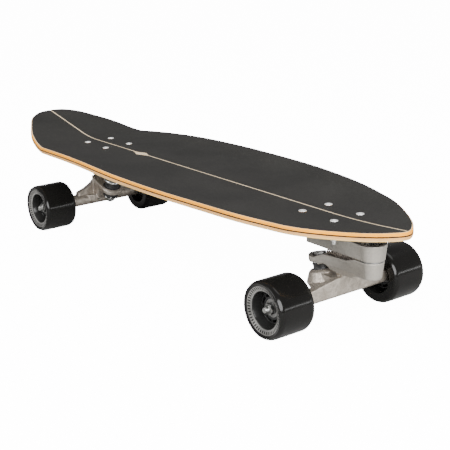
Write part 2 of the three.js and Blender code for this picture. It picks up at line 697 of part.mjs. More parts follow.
// The hangers.
function hangerTools(place, tip) {
  const at = kingpinAxis(place);
  const h = place.ringHeight / 2;
  const far = place.ringHeight * 2;
  const barrel = turned([
    [0, -place.barrelDepth], [place.barrelFoot - ring.ease, -place.barrelDepth],
    [place.barrelFoot, -place.barrelDepth / 2], [place.barrelTop, h - ring.ease],
    [place.barrelTop - ring.ease, h], [0, h],
  ], ring.sides);
  const bore = solid(rod(ring.bore, -far, far, ring.sides), ...at);
  const upper = solid(rod(ring.seatRadius, h - place.seatDepth, far, ring.sides), ...at);
  const lower = solid(rod(ring.seatRadius, -far, place.seatDepth - h, ring.sides), ...at);
  // Room under the eye for the lower washer as the hanger leans.
  const reach = washerReach(bushing.lowerRadius) + runGap;
  const side = place.barrelFoot;
  const under = -place.barrelDepth;
  const room = solid(pushed([[-side, -far], [reach, -far], [reach, under], [-side, under]], 2 * side),
    sideways, move(0, side, 0), ...at.slice(1));
  const along = alongSteering(place, tip);
  const nose = turned([
    [0, -pivot.reach], [pivot.rootRadius, -pivot.reach], [pivot.tipRadius, -pivot.cupDepth - seatGap],
    [pivot.tipRadius, -pivot.tipRadius / 2], [pivot.tipRadius / 2, 0], [0, 0],
  ], pivot.sides);
  const cut = bore.add(upper).add(lower).add(room);
  return { barrel: solid(barrel, ...at), cut, nose: solid(nose, ...along) };
}

function axleHousing(x) {
  const profile = [
    [0, -hangerLength / 2], [beam.endRadius, -hangerLength / 2], [beam.radius, -beam.shoulderPlace],
    [beam.radius, beam.shoulderPlace], [beam.endRadius, hangerLength / 2], [0, hangerLength / 2],
  ];
  return solid(turned(profile, beam.sides), move(x, 0, -truckHeight));
}

const axleBore = (x) => {
  const reach = hangerLength / 2 + overrun;
  return solid(rod(axle.diameter / 2 + seatGap, -reach, reach, axle.sides), move(x, 0, -truckHeight));
};

const mirrored = (points) => [...points, ...points.map(([y, z]) => [-y, z]).reverse()];

function frontHanger() {
  const tools = hangerTools(frontKingpin, frontPivot);
  const f = frontBeam;
  const face = mirrored([
    [f.peakHalf, -f.peakDrop], [f.shoulderHalf, -f.shoulderDrop], [hangerLength / 2, -f.endDrop],
    [hangerLength / 2, -truckHeight - f.endHalf], [f.shoulderHalf, -f.soleDrop],
  ].reverse());
  const front = f.axleX + f.faceAhead;
  const section = [
    [front, -f.peakDrop + overrun], [front, -truckHeight - f.endHalf / 2], [front - f.toe, -f.soleDrop],
    [f.axleX - f.toe, -f.soleDrop], [f.axleX - f.back, -truckHeight],
    [front - f.lipWidth, -f.peakDrop + overrun],
  ];
  let body = frontCut(face, f.axleX - f.back - overrun, f.back + f.faceAhead + overrun);
  body = body.intersect(sideCut(section.reverse(), hangerLength + overrun));
  const { ringX, ringDrop } = frontKingpin;
  const neck = [
    [ringX, -ringDrop - f.neckHalf], [f.axleX, -truckHeight - f.neckHalf / 2],
    [f.axleX + f.faceAhead / 2, -f.peakDrop - seatGap], [ringX, -ringDrop + f.neckHalf],
  ];
  body = body.add(sideCut(neck, 2 * f.neckWidth)).add(axleHousing(f.axleX));
  body = body.add(tools.barrel).add(tools.nose);
  return body.subtract(tools.cut).subtract(axleBore(f.axleX));
}

function rearHanger() {
  const tools = hangerTools(rearKingpin, rearPivot);
  const r = rearBeam;
  const web = mirrored(
    webShares.map(([y, height]) => [y * r.webHalf, height * r.webHeight - truckHeight]).reverse(),
  );
  let body = frontCut(web, r.axleX - r.webThickness / 2, r.webThickness);
  // The shelf ahead of the axle.
  const plan = mirrored([
    [r.shelfHalf, r.axleX], [r.shelfMid, r.axleX - r.shelfRun],
  ].reverse()).map(([y, x]) => [x, y]);
  const shelf = planCut(plan, -truckHeight - r.shelfSole, -truckHeight + r.shelfHeight);
  // The neck, which carries the eye and the pivot's nose.
  const { ringX, ringDrop } = rearKingpin;
  const neck = [
    [ringX, -ringDrop - r.neckEye], [r.axleX - r.neckSoleRun, -truckHeight - r.neckSole],
    [r.axleX, -truckHeight - r.neckSole], [r.axleX, r.webHeight - truckHeight],
    [r.axleX - r.neckCrestRun, r.neckCrest - truckHeight], [ringX, -ringDrop + r.neckEye],
  ];
  body = body.add(sideCut(neck, 2 * r.neckHalf)).add(shelf).add(axleHousing(r.axleX));
  body = body.add(tools.barrel).add(tools.nose);
  return body.subtract(tools.cut).subtract(axleBore(r.axleX));
}

// The rear baseplate: a plate, the kingpin's leaning post and the pivot cup's boss.
function rearBaseplate() {
  const b = rearBase;
  const at = kingpinAxis(rearKingpin);
  const along = alongSteering(rearKingpin, rearPivot);
  const plateFoot = baseTop - b.thickness;
  let body = roundedPlate(b.length, b.width, b.corner, plateFoot, baseTop).translate([b.shift, 0, 0]);
  const postLow = stackHeights(rearKingpin).washerTop + seatGap;
  const post = cone(b.postFoot, b.postTop, postLow, rearKingpin.up + b.thickness, b.sides);
  body = body.add(solid(post, ...at));
  body = body.add(solid(rod(b.cupBoss, -pivot.cupDepth, b.cupReach, b.sides), ...along));
  const gusset = [
    [rearPivot.x, baseTop - seatGap], [rearPivot.x + b.gussetOut, -rearPivot.drop + b.cupBoss],
    [rearPivot.x, -rearPivot.drop], [rearPivot.x - b.gussetIn, plateFoot + seatGap],
    [rearPivot.x - b.gussetIn, baseTop - seatGap],
  ];
  body = body.add(sideCut(gusset, b.gussetWidth));
  body = body.subtract(solid(rod(b.length, baseTop, b.length, b.sides), upright));
  body = body.subtract(solid(rod(kingpin.diameter / 2 + seatGap, 0, b.length, axle.sides), ...at));
  body = body.subtract(solid(rod(b.headClear, rearKingpin.up - seatGap, b.length * 2, b.sides), ...at));
  const cupTop = pivot.cupWall + 2 * seatGap;
  body = body.subtract(solid(rod(cupBore, -b.length / 2, cupTop, pivot.sides), ...along));
  for (const hole of boltHoles(plateFoot - overrun, baseTop + overrun)) body = body.subtract(hole);
  return body;
}

// Assembly. The board's frame has z = 0 at the deck's underside.
const board = new THREE.Group();
board.position.z = wheel.radius + truckHeight;
board.add(named("deck", deckSolid(), maple));
board.add(named("grip_tape", gripSolid(), gripSheet));

function fasteners(truck, plateThickness) {
  for (const place of boltPlaces.filter((each) => each.truck === truck)) {
    const bolt = named(truck + "_mount_bolt_" + place.number, screwSolid(), steel);
    bolt.position.set(place.x, place.y, 0);
    const nut = nutSolid(screw.nutFlats, screw.nutHeight, screw.shank / 2 + seatGap);
    const nutMesh = named(truck + "_mount_nut_" + place.number, nut, steel);
    nutMesh.position.set(place.x, place.y, baseTop - plateThickness - seatGap - screw.nutHeight);
    board.add(bolt, nutMesh);
  }
}
fasteners("front", base.flangeThickness);
fasteners("rear", rearBase.thickness);

// Which way left lies is told by leftSide, because the rear truck is turned end for end.
function axleAndWheels(truck, axleX, leftSide) {
  const group = new THREE.Group();
  group.position.set(axleX, 0, -truckHeight);
  const rodBody = rod(axle.diameter / 2, -axle.length / 2, axle.length / 2, axle.sides);
  group.add(named(truck + "_axle", rodBody, steel));
  group.add(wheelGroup(truck + "_left", leftSide), wheelGroup(truck + "_right", -leftSide));
  return group;
}

const frontTruck = new THREE.Group();
frontTruck.position.x = boltMiddle.front;
frontTruck.add(named("front_base", frontBase(), castAlloy));
frontTruck.add(named("front_arm", frontArm(), castAlloy));
const boltMesh = named("arm_pivot_bolt", swingBoltSolid(), brightSteel);
boltMesh.position.x = pivotPlace;
const swingNut = nutSolid(swingBolt.nutFlats, swingBolt.nutHeight, swingBolt.diameter / 2 + seatGap);
const swingNutMesh = named("arm_pivot_nut", swingNut, steel);
swingNutMesh.position.set(pivotPlace, 0, armTop - arm.bossDepth - seatGap - swingBolt.nutHeight);
const washerLow = baseFoot - seatGap - thrust.thickness;
const washerHigh = washerLow + thrust.thickness;
const washerShape = tube(thrust.bore / 2, thrust.radius, washerLow, washerHigh, ring.sides);
const washerMesh = named("arm_thrust_washer", turnUp(washerShape), brightSteel);
washerMesh.position.x = pivotPlace;
const coil = springGeometry();
console.log("arm_spring least gap to itself " + coil.gap.toFixed(2) + " mm");
frontTruck.add(boltMesh, swingNutMesh, washerMesh, named("arm_spring", coil.geometry, springSteel));
frontTruck.add(kingpinStack("front", frontKingpin), pivotCup("front", frontKingpin, frontPivot));
frontTruck.add(named("front_hanger", frontHanger(), sandCast));
frontTruck.add(axleAndWheels("front", frontBeam.axleX, 1));

const rearTruck = new THREE.Group();
rearTruck.position.x = boltMiddle.rear;
rearTruck.rotation.z = Math.PI;
rearTruck.add(named("rear_baseplate", rearBaseplate(), castAlloy));
rearTruck.add(kingpinStack("rear", rearKingpin), pivotCup("rear", rearKingpin, rearPivot));
rearTruck.add(named("rear_hanger", rearHanger(), sandCast));
rearTruck.add(axleAndWheels("rear", rearBeam.axleX, -1));

board.add(frontTruck, rearTruck);
const skateboard = new THREE.Group();
skateboard.add(board);
export default skateboard;
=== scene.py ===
import math

import bmesh
import bpy
import numpy as np
from mathutils import Matrix, Vector


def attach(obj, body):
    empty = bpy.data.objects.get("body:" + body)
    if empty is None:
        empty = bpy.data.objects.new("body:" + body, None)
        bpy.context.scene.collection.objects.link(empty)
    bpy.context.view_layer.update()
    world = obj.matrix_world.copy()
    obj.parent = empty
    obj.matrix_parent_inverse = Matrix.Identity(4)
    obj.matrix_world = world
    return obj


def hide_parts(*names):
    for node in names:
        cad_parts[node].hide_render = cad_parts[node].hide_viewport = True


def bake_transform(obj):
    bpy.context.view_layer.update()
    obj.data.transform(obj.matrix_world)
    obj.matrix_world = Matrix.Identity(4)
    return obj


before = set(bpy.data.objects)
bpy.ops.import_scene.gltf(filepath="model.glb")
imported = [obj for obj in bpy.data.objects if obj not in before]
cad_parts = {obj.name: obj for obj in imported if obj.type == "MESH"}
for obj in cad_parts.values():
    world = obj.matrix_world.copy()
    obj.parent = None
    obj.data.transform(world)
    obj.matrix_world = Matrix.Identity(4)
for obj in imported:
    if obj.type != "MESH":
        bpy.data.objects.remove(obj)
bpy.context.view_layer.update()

# Surf skateboard, dressed over its solids. Lengths in the dictionaries are millimetres.
mm = 0.001
slack = 0.3  # gap between two faces that touch

# Camera
camera = {
    "azimuth": 53.231, "elevation": 17.172, "roll": -1.306, "place": (1117.216, -775.66, 462.663),
    "focal": 1009.98, "imageSize": 450, "sensor": 36.0, "clipEnd": 50,
}


def makeCamera():
    az, el, roll = (math.radians(camera[k]) for k in ("azimuth", "elevation", "roll"))
    back = Vector((math.sin(az) * math.cos(el), -math.cos(az) * math.cos(el), math.sin(el)))
    right = Vector((math.cos(az), math.sin(az), 0))
    up = back.cross(right)
    side = right * math.cos(roll) + up * math.sin(roll)
    top = up * math.cos(roll) - right * math.sin(roll)
    data = bpy.data.cameras.new("camera")
    data.sensor_width = camera["sensor"]
    data.lens = camera["focal"] / camera["imageSize"] * camera["sensor"]
    data.clip_end = camera["clipEnd"]
    lens = bpy.data.objects.new("camera", data)
    lens.matrix_world = Matrix((
        (side.x, top.x, back.x, camera["place"][0] * mm),
        (side.y, top.y, back.y, camera["place"][1] * mm),
        (side.z, top.z, back.z, camera["place"][2] * mm),
        (0, 0, 0, 1),
    ))
    bpy.context.scene.collection.objects.link(lens)
    bpy.context.scene.camera = lens


makeCamera()
print("camera placed")


# Mesh helpers
creaseAngle = 35  # degrees
weldReach, flatReach, castWeld = 0.002, 0.001, 0.01  # points closer than these are joined


def newObject(name, points, faces, material=None, sharp=creaseAngle):
    mesh = bpy.data.meshes.new(name)
    mesh.from_pydata([tuple(p) for p in points], [], [tuple(f) for f in faces])
    mesh.update()
    piece = bpy.data.objects.new(name, mesh)
    bpy.context.scene.collection.objects.link(piece)
    finishMesh(piece, sharp)
    if material:
        mesh.materials.append(material)
    return piece


def finishMesh(piece, sharp=creaseAngle):
    mesh = piece.data
    work = bmesh.new()
    work.from_mesh(mesh)
    bmesh.ops.remove_doubles(work, verts=work.verts, dist=weldReach * mm)
    bmesh.ops.dissolve_degenerate(work, edges=work.edges, dist=flatReach * mm)
    bmesh.ops.recalc_face_normals(work, faces=work.faces)
    work.to_mesh(mesh)
    work.free()
    smoothMesh(mesh, sharp)


# Smooth faces, with creases where they meet at more than the angle; 0 leaves no crease.
def smoothMesh(mesh, sharp):
    mesh.polygons.foreach_set("use_smooth", [True] * len(mesh.polygons))
    if sharp:
        mesh.set_sharp_from_angle(angle=math.radians(sharp))
    mesh.update()


class Form:
    # Points and faces gathered before they become one piece.
    def __init__(self):
        self.points = []
        self.faces = []

    def add(self, points, faces, place=None):
        start = len(self.points)
        for point in points:
            at = Vector(point) * mm
            self.points.append(place @ at if place else at)
        self.faces += [[start + i for i in face] for face in faces]
        return self

    def piece(self, name, material, body, slot, nodes, sharp=creaseAngle):
        made = newObject(name, self.points, self.faces, material, sharp)
        dress(made, body, nodes)
        return made


def dress(piece, body, nodes):
    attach(piece, body)
    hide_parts(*nodes)


def place(x=0, y=0, z=0):
    return Matrix.Translation(Vector((x, y, z)) * mm)


def turn(degrees, axis):
    return Matrix.Rotation(math.radians(degrees), 4, axis)


# Rings round Z: each is (radius, height), and either may be a function of the angle.
def ringForm(rings, steps, closed=True):
    angles = [2 * math.pi * (i + 0.5) / steps for i in range(steps)]
    points = []
    for radius, height in rings:
        for angle in angles:
            r = radius(angle) if callable(radius) else radius
            z = height(angle) if callable(height) else height
            points.append((r * math.cos(angle), r * math.sin(angle), z))
    faces = []
    last = len(rings) if closed else len(rings) - 1
    for ring in range(last):
        a, b = ring * steps, ((ring + 1) % len(rings)) * steps
        for i in range(steps):
            j = (i + 1) % steps
            faces.append((a + i, a + j, b + j, b + i))
    return points, faces


cornerReach = 0.45  # share of the shorter side that a rounding may take
fineSteps = 3  # straight pieces in a small rounding


# A closed profile whose corners are rounded: each is (radius, height) or (radius, height, rounding).
def rounded(corners, steps, rounding=0.0):
    out = []
    count = len(corners)
    for i, corner in enumerate(corners):
        here = np.array(corner[:2], float)
        size = corner[2] if len(corner) > 2 else rounding
        before = np.array(corners[i - 1][:2], float) - here
        after = np.array(corners[(i + 1) % count][:2], float) - here
        reach = min(np.linalg.norm(before), np.linalg.norm(after)) * cornerReach
        if size <= 0 or reach <= 0 or corner[0] <= 0:
            out.append(tuple(here))
            continue
        size = min(size, reach)
        start = here + before / np.linalg.norm(before) * size
        end = here + after / np.linalg.norm(after) * size
        for k in range(steps + 1):
            t = k / steps
            out.append(tuple((1 - t) ** 2 * start + 2 * t * (1 - t) * here + t * t * end))
    return out


def hexReach(flats):
    return lambda angle: flats / 2 / math.cos((angle % (math.pi / 3)) - math.pi / 6)


hexagon = {"faceShare": 0.98, "chamfer": 30}


# A six-sided nut or head with the turned chamfer on both faces.
def hexRings(flats, low, high, bore):
    reach = hexReach(flats)
    face = flats / 2 * hexagon["faceShare"]
    slope = math.tan(math.radians(hexagon["chamfer"]))

    def fall(angle):
        return max(0, reach(angle) - face) * slope
    return [(bore, low), (face, low), (reach, lambda a: low + fall(a)), (reach, lambda a: high - fall(a)),
            (face, high), (bore, high)]


ringsPerPitch = 4
threadLead = 0.1  # from a bolt's tip to its thread


# A thread as rings whose radius rises and falls once a turn, shifted along the pitch.
def threadRings(low, high, radius, pitch, depth):
    count = int((high - low) / pitch * ringsPerPitch)
    rings = []
    for i in range(count + 1):
        z = low + (high - low) * i / count

        def reach(angle, z=z):
            phase = (z / pitch - angle / (2 * math.pi)) % 1
            return radius - depth * abs(2 * phase - 1)
        rings.append((reach, z))
    return rings


# A bolt's threaded foot: a chamfered tip, then the thread up to the given height.
def threadedFoot(foot, end, radius, v):
    inwards, start, up = v["tip"]
    rings = [(0, foot), (radius - inwards, foot), (radius - start, foot + up)]
    return rings + threadRings(foot + up + threadLead, end, radius, v["pitch"], v["threadDepth"])


# The turned collar of a lock nut, from its end towards the hexagon.
def collarRings(face, end, towards, collar):
    tip, side = face * collar["tip"], face * collar["side"]
    return [(tip, end), (side, end + towards * collar["round"]), (side, end + towards * collar["height"])]


# A lock nut that sits against something above it: its collar at the low end, softened rims in its bore.
def lockNutRings(flats, low, high, bore, collar):
    rings = [(bore + collar["mouth"], low)] + collarRings(flats / 2, low, 1, collar)
    rings += hexRings(flats, low + collar["height"], high, bore)[1:-1]
    return rings + [(bore + collar["rim"], high), (bore, high - collar["rim"]), (bore, low + collar["foot"])]


print("helpers ready")


# Shader helpers
def node(tree, kind, values=None, links=None, **settings):
    made = tree.nodes.new(kind)
    for key, value in settings.items():
        setattr(made, key, value)
    for socket, value in (values or {}).items():
        made.inputs[socket].default_value = value
    for socket, source in (links or {}).items():
        tree.links.new(source, made.inputs[socket])
    return made


def groupTree(name, inputs, outputs):
    tree = bpy.data.node_groups.new(name, "ShaderNodeTree")
    for title, kind, value in inputs:
        socket = tree.interface.new_socket(name=title, in_out="INPUT", socket_type=kind)
        if value is not None:
            socket.default_value = value
    for title, kind in outputs:
        tree.interface.new_socket(name=title, in_out="OUTPUT", socket_type=kind)
    return tree, tree.nodes.new("NodeGroupInput").outputs, tree.nodes.new("NodeGroupOutput").inputs


def useGroup(tree, group, coords=None, **values):
    made = tree.nodes.new("ShaderNodeGroup")
    made.node_tree = group
    if coords is not None:
        tree.links.new(coords, made.inputs["Vector"])
    for key, value in values.items():
        made.inputs[key[0].upper() + key[1:]].default_value = value
    return made.outputs


def ramp(tree, source, stops):
    made = tree.nodes.new("ShaderNodeValToRGB")
    elements = made.color_ramp.elements
    while len(elements) > 1:
        elements.remove(elements[-1])
    for i, (position, color) in enumerate(stops):
        element = elements[0] if i == 0 else elements.new(position)
        element.position = position
        element.color = (*color, 1)
    tree.links.new(source, made.inputs["Fac"])
    return made.outputs["Color"]


def mixColor(tree, factor, first, second, blend="MIX"):
    made = tree.nodes.new("ShaderNodeMix")
    made.data_type = "RGBA"
    made.blend_type = blend
    for socket, value in ((0, factor), (6, first), (7, second)):
        if isinstance(value, bpy.types.NodeSocket):
            tree.links.new(value, made.inputs[socket])
        elif isinstance(value, tuple):
            made.inputs[socket].default_value = (*value, 1)
        else:
            made.inputs[socket].default_value = value
    return made.outputs[2]


def span(tree, source, low, high, fromLow=0.0, fromHigh=1.0):
    made = node(tree, "ShaderNodeMapRange", {1: fromLow, 2: fromHigh, 3: low, 4: high}, {0: source})
    return made.outputs[0]


# first + second * scale
def sumOf(tree, first, second, scale):
    made = node(tree, "ShaderNodeMath", {1: scale}, {0: second, 2: first}, operation="MULTIPLY_ADD")
    return made.outputs[0]


# The shared bump; the distance is in millimetres.
def bumpOf(tree, height, distance, under=None):
    links = {"Height": height, "Normal": under} if under else {"Height": height}
    return node(tree, "ShaderNodeBump", {"Strength": 1.0, "Distance": distance * mm}, links).outputs["Normal"]


# Where each mask rises from none to full, as values of its noise.
maskRange = {
    "speckle": (0.42, 0.6), "corner": (0.515, 0.6), "patch": (0.38, 0.62), "cloud": (0.32, 0.68),
    "grain": (0.36, 0.64), "dull": (0.35, 0.65), "spark": (0.56, 0.68),
}
# Values that the shared effects keep to themselves.
effects = {"coarseScale": 0.22, "patchLow": 0.3, "patchScale": 160.0, "poreStretch": 0.05, "bandShare": 0.6}


# Coarse and fine speckle for castings and abrasive.
def makeSpeckle():
    tree, given, out = groupTree("speckle", [
        ("Vector", "NodeSocketVector", None), ("Scale", "NodeSocketFloat", 900.0),
        ("Coarse", "NodeSocketFloat", 0.35), ("Sharpness", "NodeSocketFloat", 0.5),
    ], [("Height", "NodeSocketFloat"), ("Mask", "NodeSocketFloat")])
    fine = node(tree, "ShaderNodeTexNoise", {"Detail": 4.0},
                {"Vector": given["Vector"], "Scale": given["Scale"], "Roughness": given["Sharpness"]})
    wide = node(tree, "ShaderNodeMath", {1: effects["coarseScale"]}, {0: given["Scale"]},
                operation="MULTIPLY")
    coarse = node(tree, "ShaderNodeTexNoise", {"Detail": 2.0},
                  {"Vector": given["Vector"], "Scale": wide.outputs[0]})
    both = node(tree, "ShaderNodeMix", {}, {0: given["Coarse"], 2: fine.outputs[0], 3: coarse.outputs[0]})
    tree.links.new(both.outputs[0], out["Height"])
    tree.links.new(span(tree, both.outputs[0], 0, 1, *maskRange["speckle"]), out["Mask"])
    return tree


# Lighter rubbed corners, from how sharply the surface turns.
def makeRubbed():
    tree, given, out = groupTree("rubbedEdges", [
        ("Vector", "NodeSocketVector", None), ("Amount", "NodeSocketFloat", 0.6),
    ], [("Mask", "NodeSocketFloat")])
    shape = node(tree, "ShaderNodeNewGeometry")
    edge = span(tree, shape.outputs["Pointiness"], 0, 1, *maskRange["corner"])
    broken = node(tree, "ShaderNodeTexNoise", {"Scale": effects["patchScale"], "Detail": 3.0},
                  {"Vector": given["Vector"]})
    patchy = span(tree, broken.outputs[0], effects["patchLow"], 1, *maskRange["patch"])
    worn = node(tree, "ShaderNodeMath", {}, {0: edge, 1: patchy}, operation="MULTIPLY")
    scaled = node(tree, "ShaderNodeMath", {}, {0: worn.outputs[0], 1: given["Amount"]}, operation="MULTIPLY")
    tree.links.new(scaled.outputs[0], out["Mask"])
    return tree


# Slow changes of tone and gloss: handling, dust, uneven finish.
def makeCloud():
    tree, given, out = groupTree("cloudiness", [
        ("Vector", "NodeSocketVector", None), ("Scale", "NodeSocketFloat", 30.0),
    ], [("Mask", "NodeSocketFloat")])
    cloud = node(tree, "ShaderNodeTexNoise", {"Detail": 5.0, "Roughness": 0.55, "Distortion": 0.4},
                 {"Vector": given["Vector"], "Scale": given["Scale"]})
    tree.links.new(span(tree, cloud.outputs[0], 0, 1, *maskRange["cloud"]), out["Mask"])
    return tree


# Fine straight pores and slow bands of tone along X.
def makeGrain():
    tree, given, out = groupTree("woodGrain", [
        ("Vector", "NodeSocketVector", None), ("Pores", "NodeSocketFloat", 1400.0),
        ("Bands", "NodeSocketFloat", 60.0),
    ], [("Tone", "NodeSocketFloat"), ("Height", "NodeSocketFloat")])
    long = node(tree, "ShaderNodeMapping", {"Scale": (effects["poreStretch"], 1.0, 1.0)},
                {"Vector": given["Vector"]})
    pores = node(tree, "ShaderNodeTexNoise", {"Detail": 3.0, "Roughness": 0.6},
                 {"Vector": long.outputs[0], "Scale": given["Pores"]})
    bands = node(tree, "ShaderNodeTexNoise", {"Detail": 4.0, "Distortion": 0.8},
                 {"Vector": long.outputs[0], "Scale": given["Bands"]})
    both = node(tree, "ShaderNodeMix", {0: effects["bandShare"]}, {2: pores.outputs[0], 3: bands.outputs[0]})
    tree.links.new(span(tree, both.outputs[0], 0, 1, *maskRange["grain"]), out["Tone"])
    tree.links.new(pores.outputs[0], out["Height"])
    return tree


speckle, rubbed, cloudiness, woodGrain = makeSpeckle(), makeRubbed(), makeCloud(), makeGrain()


def newMaterial(name, build, values, **sockets):
    made = bpy.data.materials.new(name)
    made.use_nodes = True
    tree = made.node_tree
    tree.nodes.clear()
    shader = tree.nodes.new("ShaderNodeBsdfPrincipled")
    end = tree.nodes.new("ShaderNodeOutputMaterial")
    tree.links.new(shader.outputs[0], end.inputs[0])
    for key, value in sockets.items():
        shader.inputs[key.replace("_", " ")].default_value = value
    coords = node(tree, "ShaderNodeTexCoord").outputs["Object"]
    build(tree, shader, coords, values)
    made.diffuse_color = (*values["light"], 1)
    return made


def connect(tree, shader, **sources):
    for key, source in sources.items():
        tree.links.new(source, shader.inputs[key.replace("_", " ")])


# Castings: speckled, with rubbed corners and an uneven tone.
def castBuild(tree, shader, coords, v):
    grain = useGroup(tree, speckle, coords, scale=v["grain"], coarse=v["coarse"])
    cloud = useGroup(tree, cloudiness, coords, scale=v["cloud"])["Mask"]
    worn = useGroup(tree, rubbed, coords, amount=v["worn"])["Mask"]
    tone = mixColor(tree, cloud, v["dark"], v["light"])
    tone = mixColor(tree, span(tree, grain["Mask"], 0, v["speckle"]), tone, v["pit"])
    tone = mixColor(tree, worn, tone, v["edge"])
    # Painted shade and highlight: the tone is multiplied by a ramp along X, from plateShade to bossShade.
    if "paintedShadeFrom" in v:
        along = node(tree, "ShaderNodeSeparateXYZ", {}, {0: coords}).outputs[0]
        shade = span(tree, along, v["plateShade"], v["bossShade"], *(x * mm for x in v["paintedShadeFrom"]))
        tone = mixColor(tree, 1.0, tone, shade, "MULTIPLY")
    dull = span(tree, grain["Height"], *v["gloss"], *maskRange["dull"])
    waves = useGroup(tree, cloudiness, coords, scale=v["waves"])["Mask"]
    uneven = bumpOf(tree, waves, v["crumple"])
    connect(tree, shader, Base_Color=tone, Roughness=dull,
            Normal=bumpOf(tree, grain["Height"], v["relief"], uneven))


castLooks = {
    "satin": {
        "light": (0.48, 0.452, 0.405), "dark": (0.37, 0.345, 0.308), "pit": (0.23, 0.213, 0.19),
        "edge": (0.64, 0.61, 0.565), "crumple": 0.05, "grain": 1500, "coarse": 0.3, "cloud": 34, "waves": 102,
        "speckle": 0.25, "worn": 0.6, "gloss": (0.42, 0.54), "relief": 0.06,
    },
    "sand": {
        "light": (0.56, 0.505, 0.44), "dark": (0.4, 0.355, 0.3), "pit": (0.22, 0.185, 0.15),
        "edge": (0.7, 0.66, 0.6), "crumple": 0.4, "grain": 700, "coarse": 0.5, "cloud": 60, "waves": 180,
        "speckle": 0.5, "worn": 0.5, "gloss": (0.32, 0.5), "relief": 0.4,
    },
}
# The base plate carries painted shade: its tone is cut to plateShade where the deck overhangs it, and rises along X
# to bossShade, a slight painted highlight, on its boss.
castLooks["plate"] = dict(castLooks["satin"], plateShade=0.7, bossShade=1.03, paintedShadeFrom=(312, 340))
castSatin = newMaterial("castSatin", castBuild, castLooks["satin"], Metallic=0.85)
castPlate = newMaterial("castPlate", castBuild, castLooks["plate"], Metallic=0.85)
castSand = newMaterial("castSand", castBuild, castLooks["sand"], Metallic=0.8)

steelCoarse = 0.1  # share of wide speckle in the fine lines on steel


# Plated and polished steel.
def steelBuild(tree, shader, coords, v):
    cloud = useGroup(tree, cloudiness, coords, scale=v["cloud"])["Mask"]
    lines = useGroup(tree, speckle, coords, scale=v["grain"], coarse=steelCoarse)
    tone = mixColor(tree, cloud, v["dark"], v["light"])
    dull = sumOf(tree, span(tree, cloud, *v["gloss"]), lines["Mask"], v["scuff"])
    connect(tree, shader, Base_Color=tone, Roughness=dull,
            Normal=bumpOf(tree, lines["Height"], v["relief"]))


steelLooks = {
    "zinc": {"light": (0.34, 0.34, 0.33), "dark": (0.18, 0.18, 0.172), "cloud": 220, "grain": 2600,
             "gloss": (0.24, 0.36), "scuff": 0.08, "relief": 0.02},
    # Partly painted highlight: this steel is near white and partly diffuse, so the mount screws and nuts glint even
    # in the deck's shade.
    "bright": {"light": (0.95, 0.95, 0.93), "dark": (0.85, 0.85, 0.83), "cloud": 200, "grain": 2600,
               "gloss": (0.3, 0.4), "scuff": 0.06, "relief": 0.015},
    "polished": {"light": (0.74, 0.74, 0.73), "dark": (0.58, 0.58, 0.57), "cloud": 140, "grain": 3000,
                 "gloss": (0.14, 0.22), "scuff": 0.05, "relief": 0.008},
    "shield": {"light": (0.3, 0.3, 0.295), "dark": (0.2, 0.2, 0.195), "cloud": 160, "grain": 2600,
               "gloss": (0.26, 0.38), "scuff": 0.06, "relief": 0.01},
    "springWire": {"light": (0.4, 0.35, 0.3), "dark": (0.28, 0.24, 0.205), "cloud": 260, "grain": 2400,
                   "gloss": (0.46, 0.58), "scuff": 0.08, "relief": 0.015},
}
zincSteel = newMaterial("zincSteel", steelBuild, steelLooks["zinc"], Metallic=1.0)
polishedSteel = newMaterial("polishedSteel", steelBuild, steelLooks["polished"], Metallic=1.0)
# Mount screws and nuts: zinc steel brightened near white, partly its own tone and partly a painted highlight.
brightZinc = newMaterial("brightZinc", steelBuild, steelLooks["bright"], Metallic=0.6)
shieldSteel = newMaterial("shieldSteel", steelBuild, steelLooks["shield"], Metallic=1.0)
springWire = newMaterial("springWire", steelBuild, steelLooks["springWire"], Metallic=0.3)


# Moulded black parts: bushings, cups and wheel cores.
def mouldedBuild(tree, shader, coords, v):
    cloud = useGroup(tree, cloudiness, coords, scale=v["cloud"])["Mask"]
    grain = useGroup(tree, speckle, coords, scale=v["grain"])
    tone = mixColor(tree, cloud, v["dark"], v["light"])
    connect(tree, shader, Base_Color=tone, Roughness=span(tree, cloud, *v["gloss"]),
            Normal=bumpOf(tree, grain["Height"], v["relief"]))


mouldedLooks = {
    "bushing": {"light": (0.03, 0.03, 0.031), "dark": (0.016, 0.016, 0.017), "cloud": 90, "grain": 1200,
                "gloss": (0.32, 0.46), "relief": 0.02},
    "core": {"light": (0.011, 0.011, 0.0108), "dark": (0.006, 0.006, 0.0059), "cloud": 120, "grain": 1600,
             "gloss": (0.34, 0.44), "relief": 0.015},
}
blackRubber = newMaterial("blackBushing", mouldedBuild, mouldedLooks["bushing"])
coreNylon = newMaterial("coreNylon", mouldedBuild, mouldedLooks["core"])

# Wheel urethane: glossy black, a pale printed ring with fine ticks on the outer face.
wheelLook = {
    "light": (0.0065, 0.0062, 0.0057), "dark": (0.0045, 0.0043, 0.004), "print": (0.42, 0.412, 0.395),
    "printWorn": (0.1, 0.098, 0.093), "ring": (22.6, 28.6), "ticks": 48, "tickShare": 0.45,
    "tickRing": (24.6, 27.9), "cone": (0.0105, 0.0104, 0.01), "coneEdge": 22.3, "gloss": (0.13, 0.16),
    "printGloss": 0.22, "coneGloss": 0.08, "printMetal": 0.75, "cloud": 18, "grain": 900, "relief": 0.004,
    "coneInner": 10, "inkWorn": 0.5, "ringBlur": 0.12, "tickBlur": 0.04, "tickRingBlur": 0.1, "coneBlur": 0.15,
}


def band(tree, source, low, high, blur):
    rise = span(tree, source, 0, 1, low - blur, low + blur)
    fall = span(tree, source, 1, 0, high - blur, high + blur)
    return node(tree, "ShaderNodeMath", {}, {0: rise, 1: fall}, operation="MULTIPLY").outputs[0]


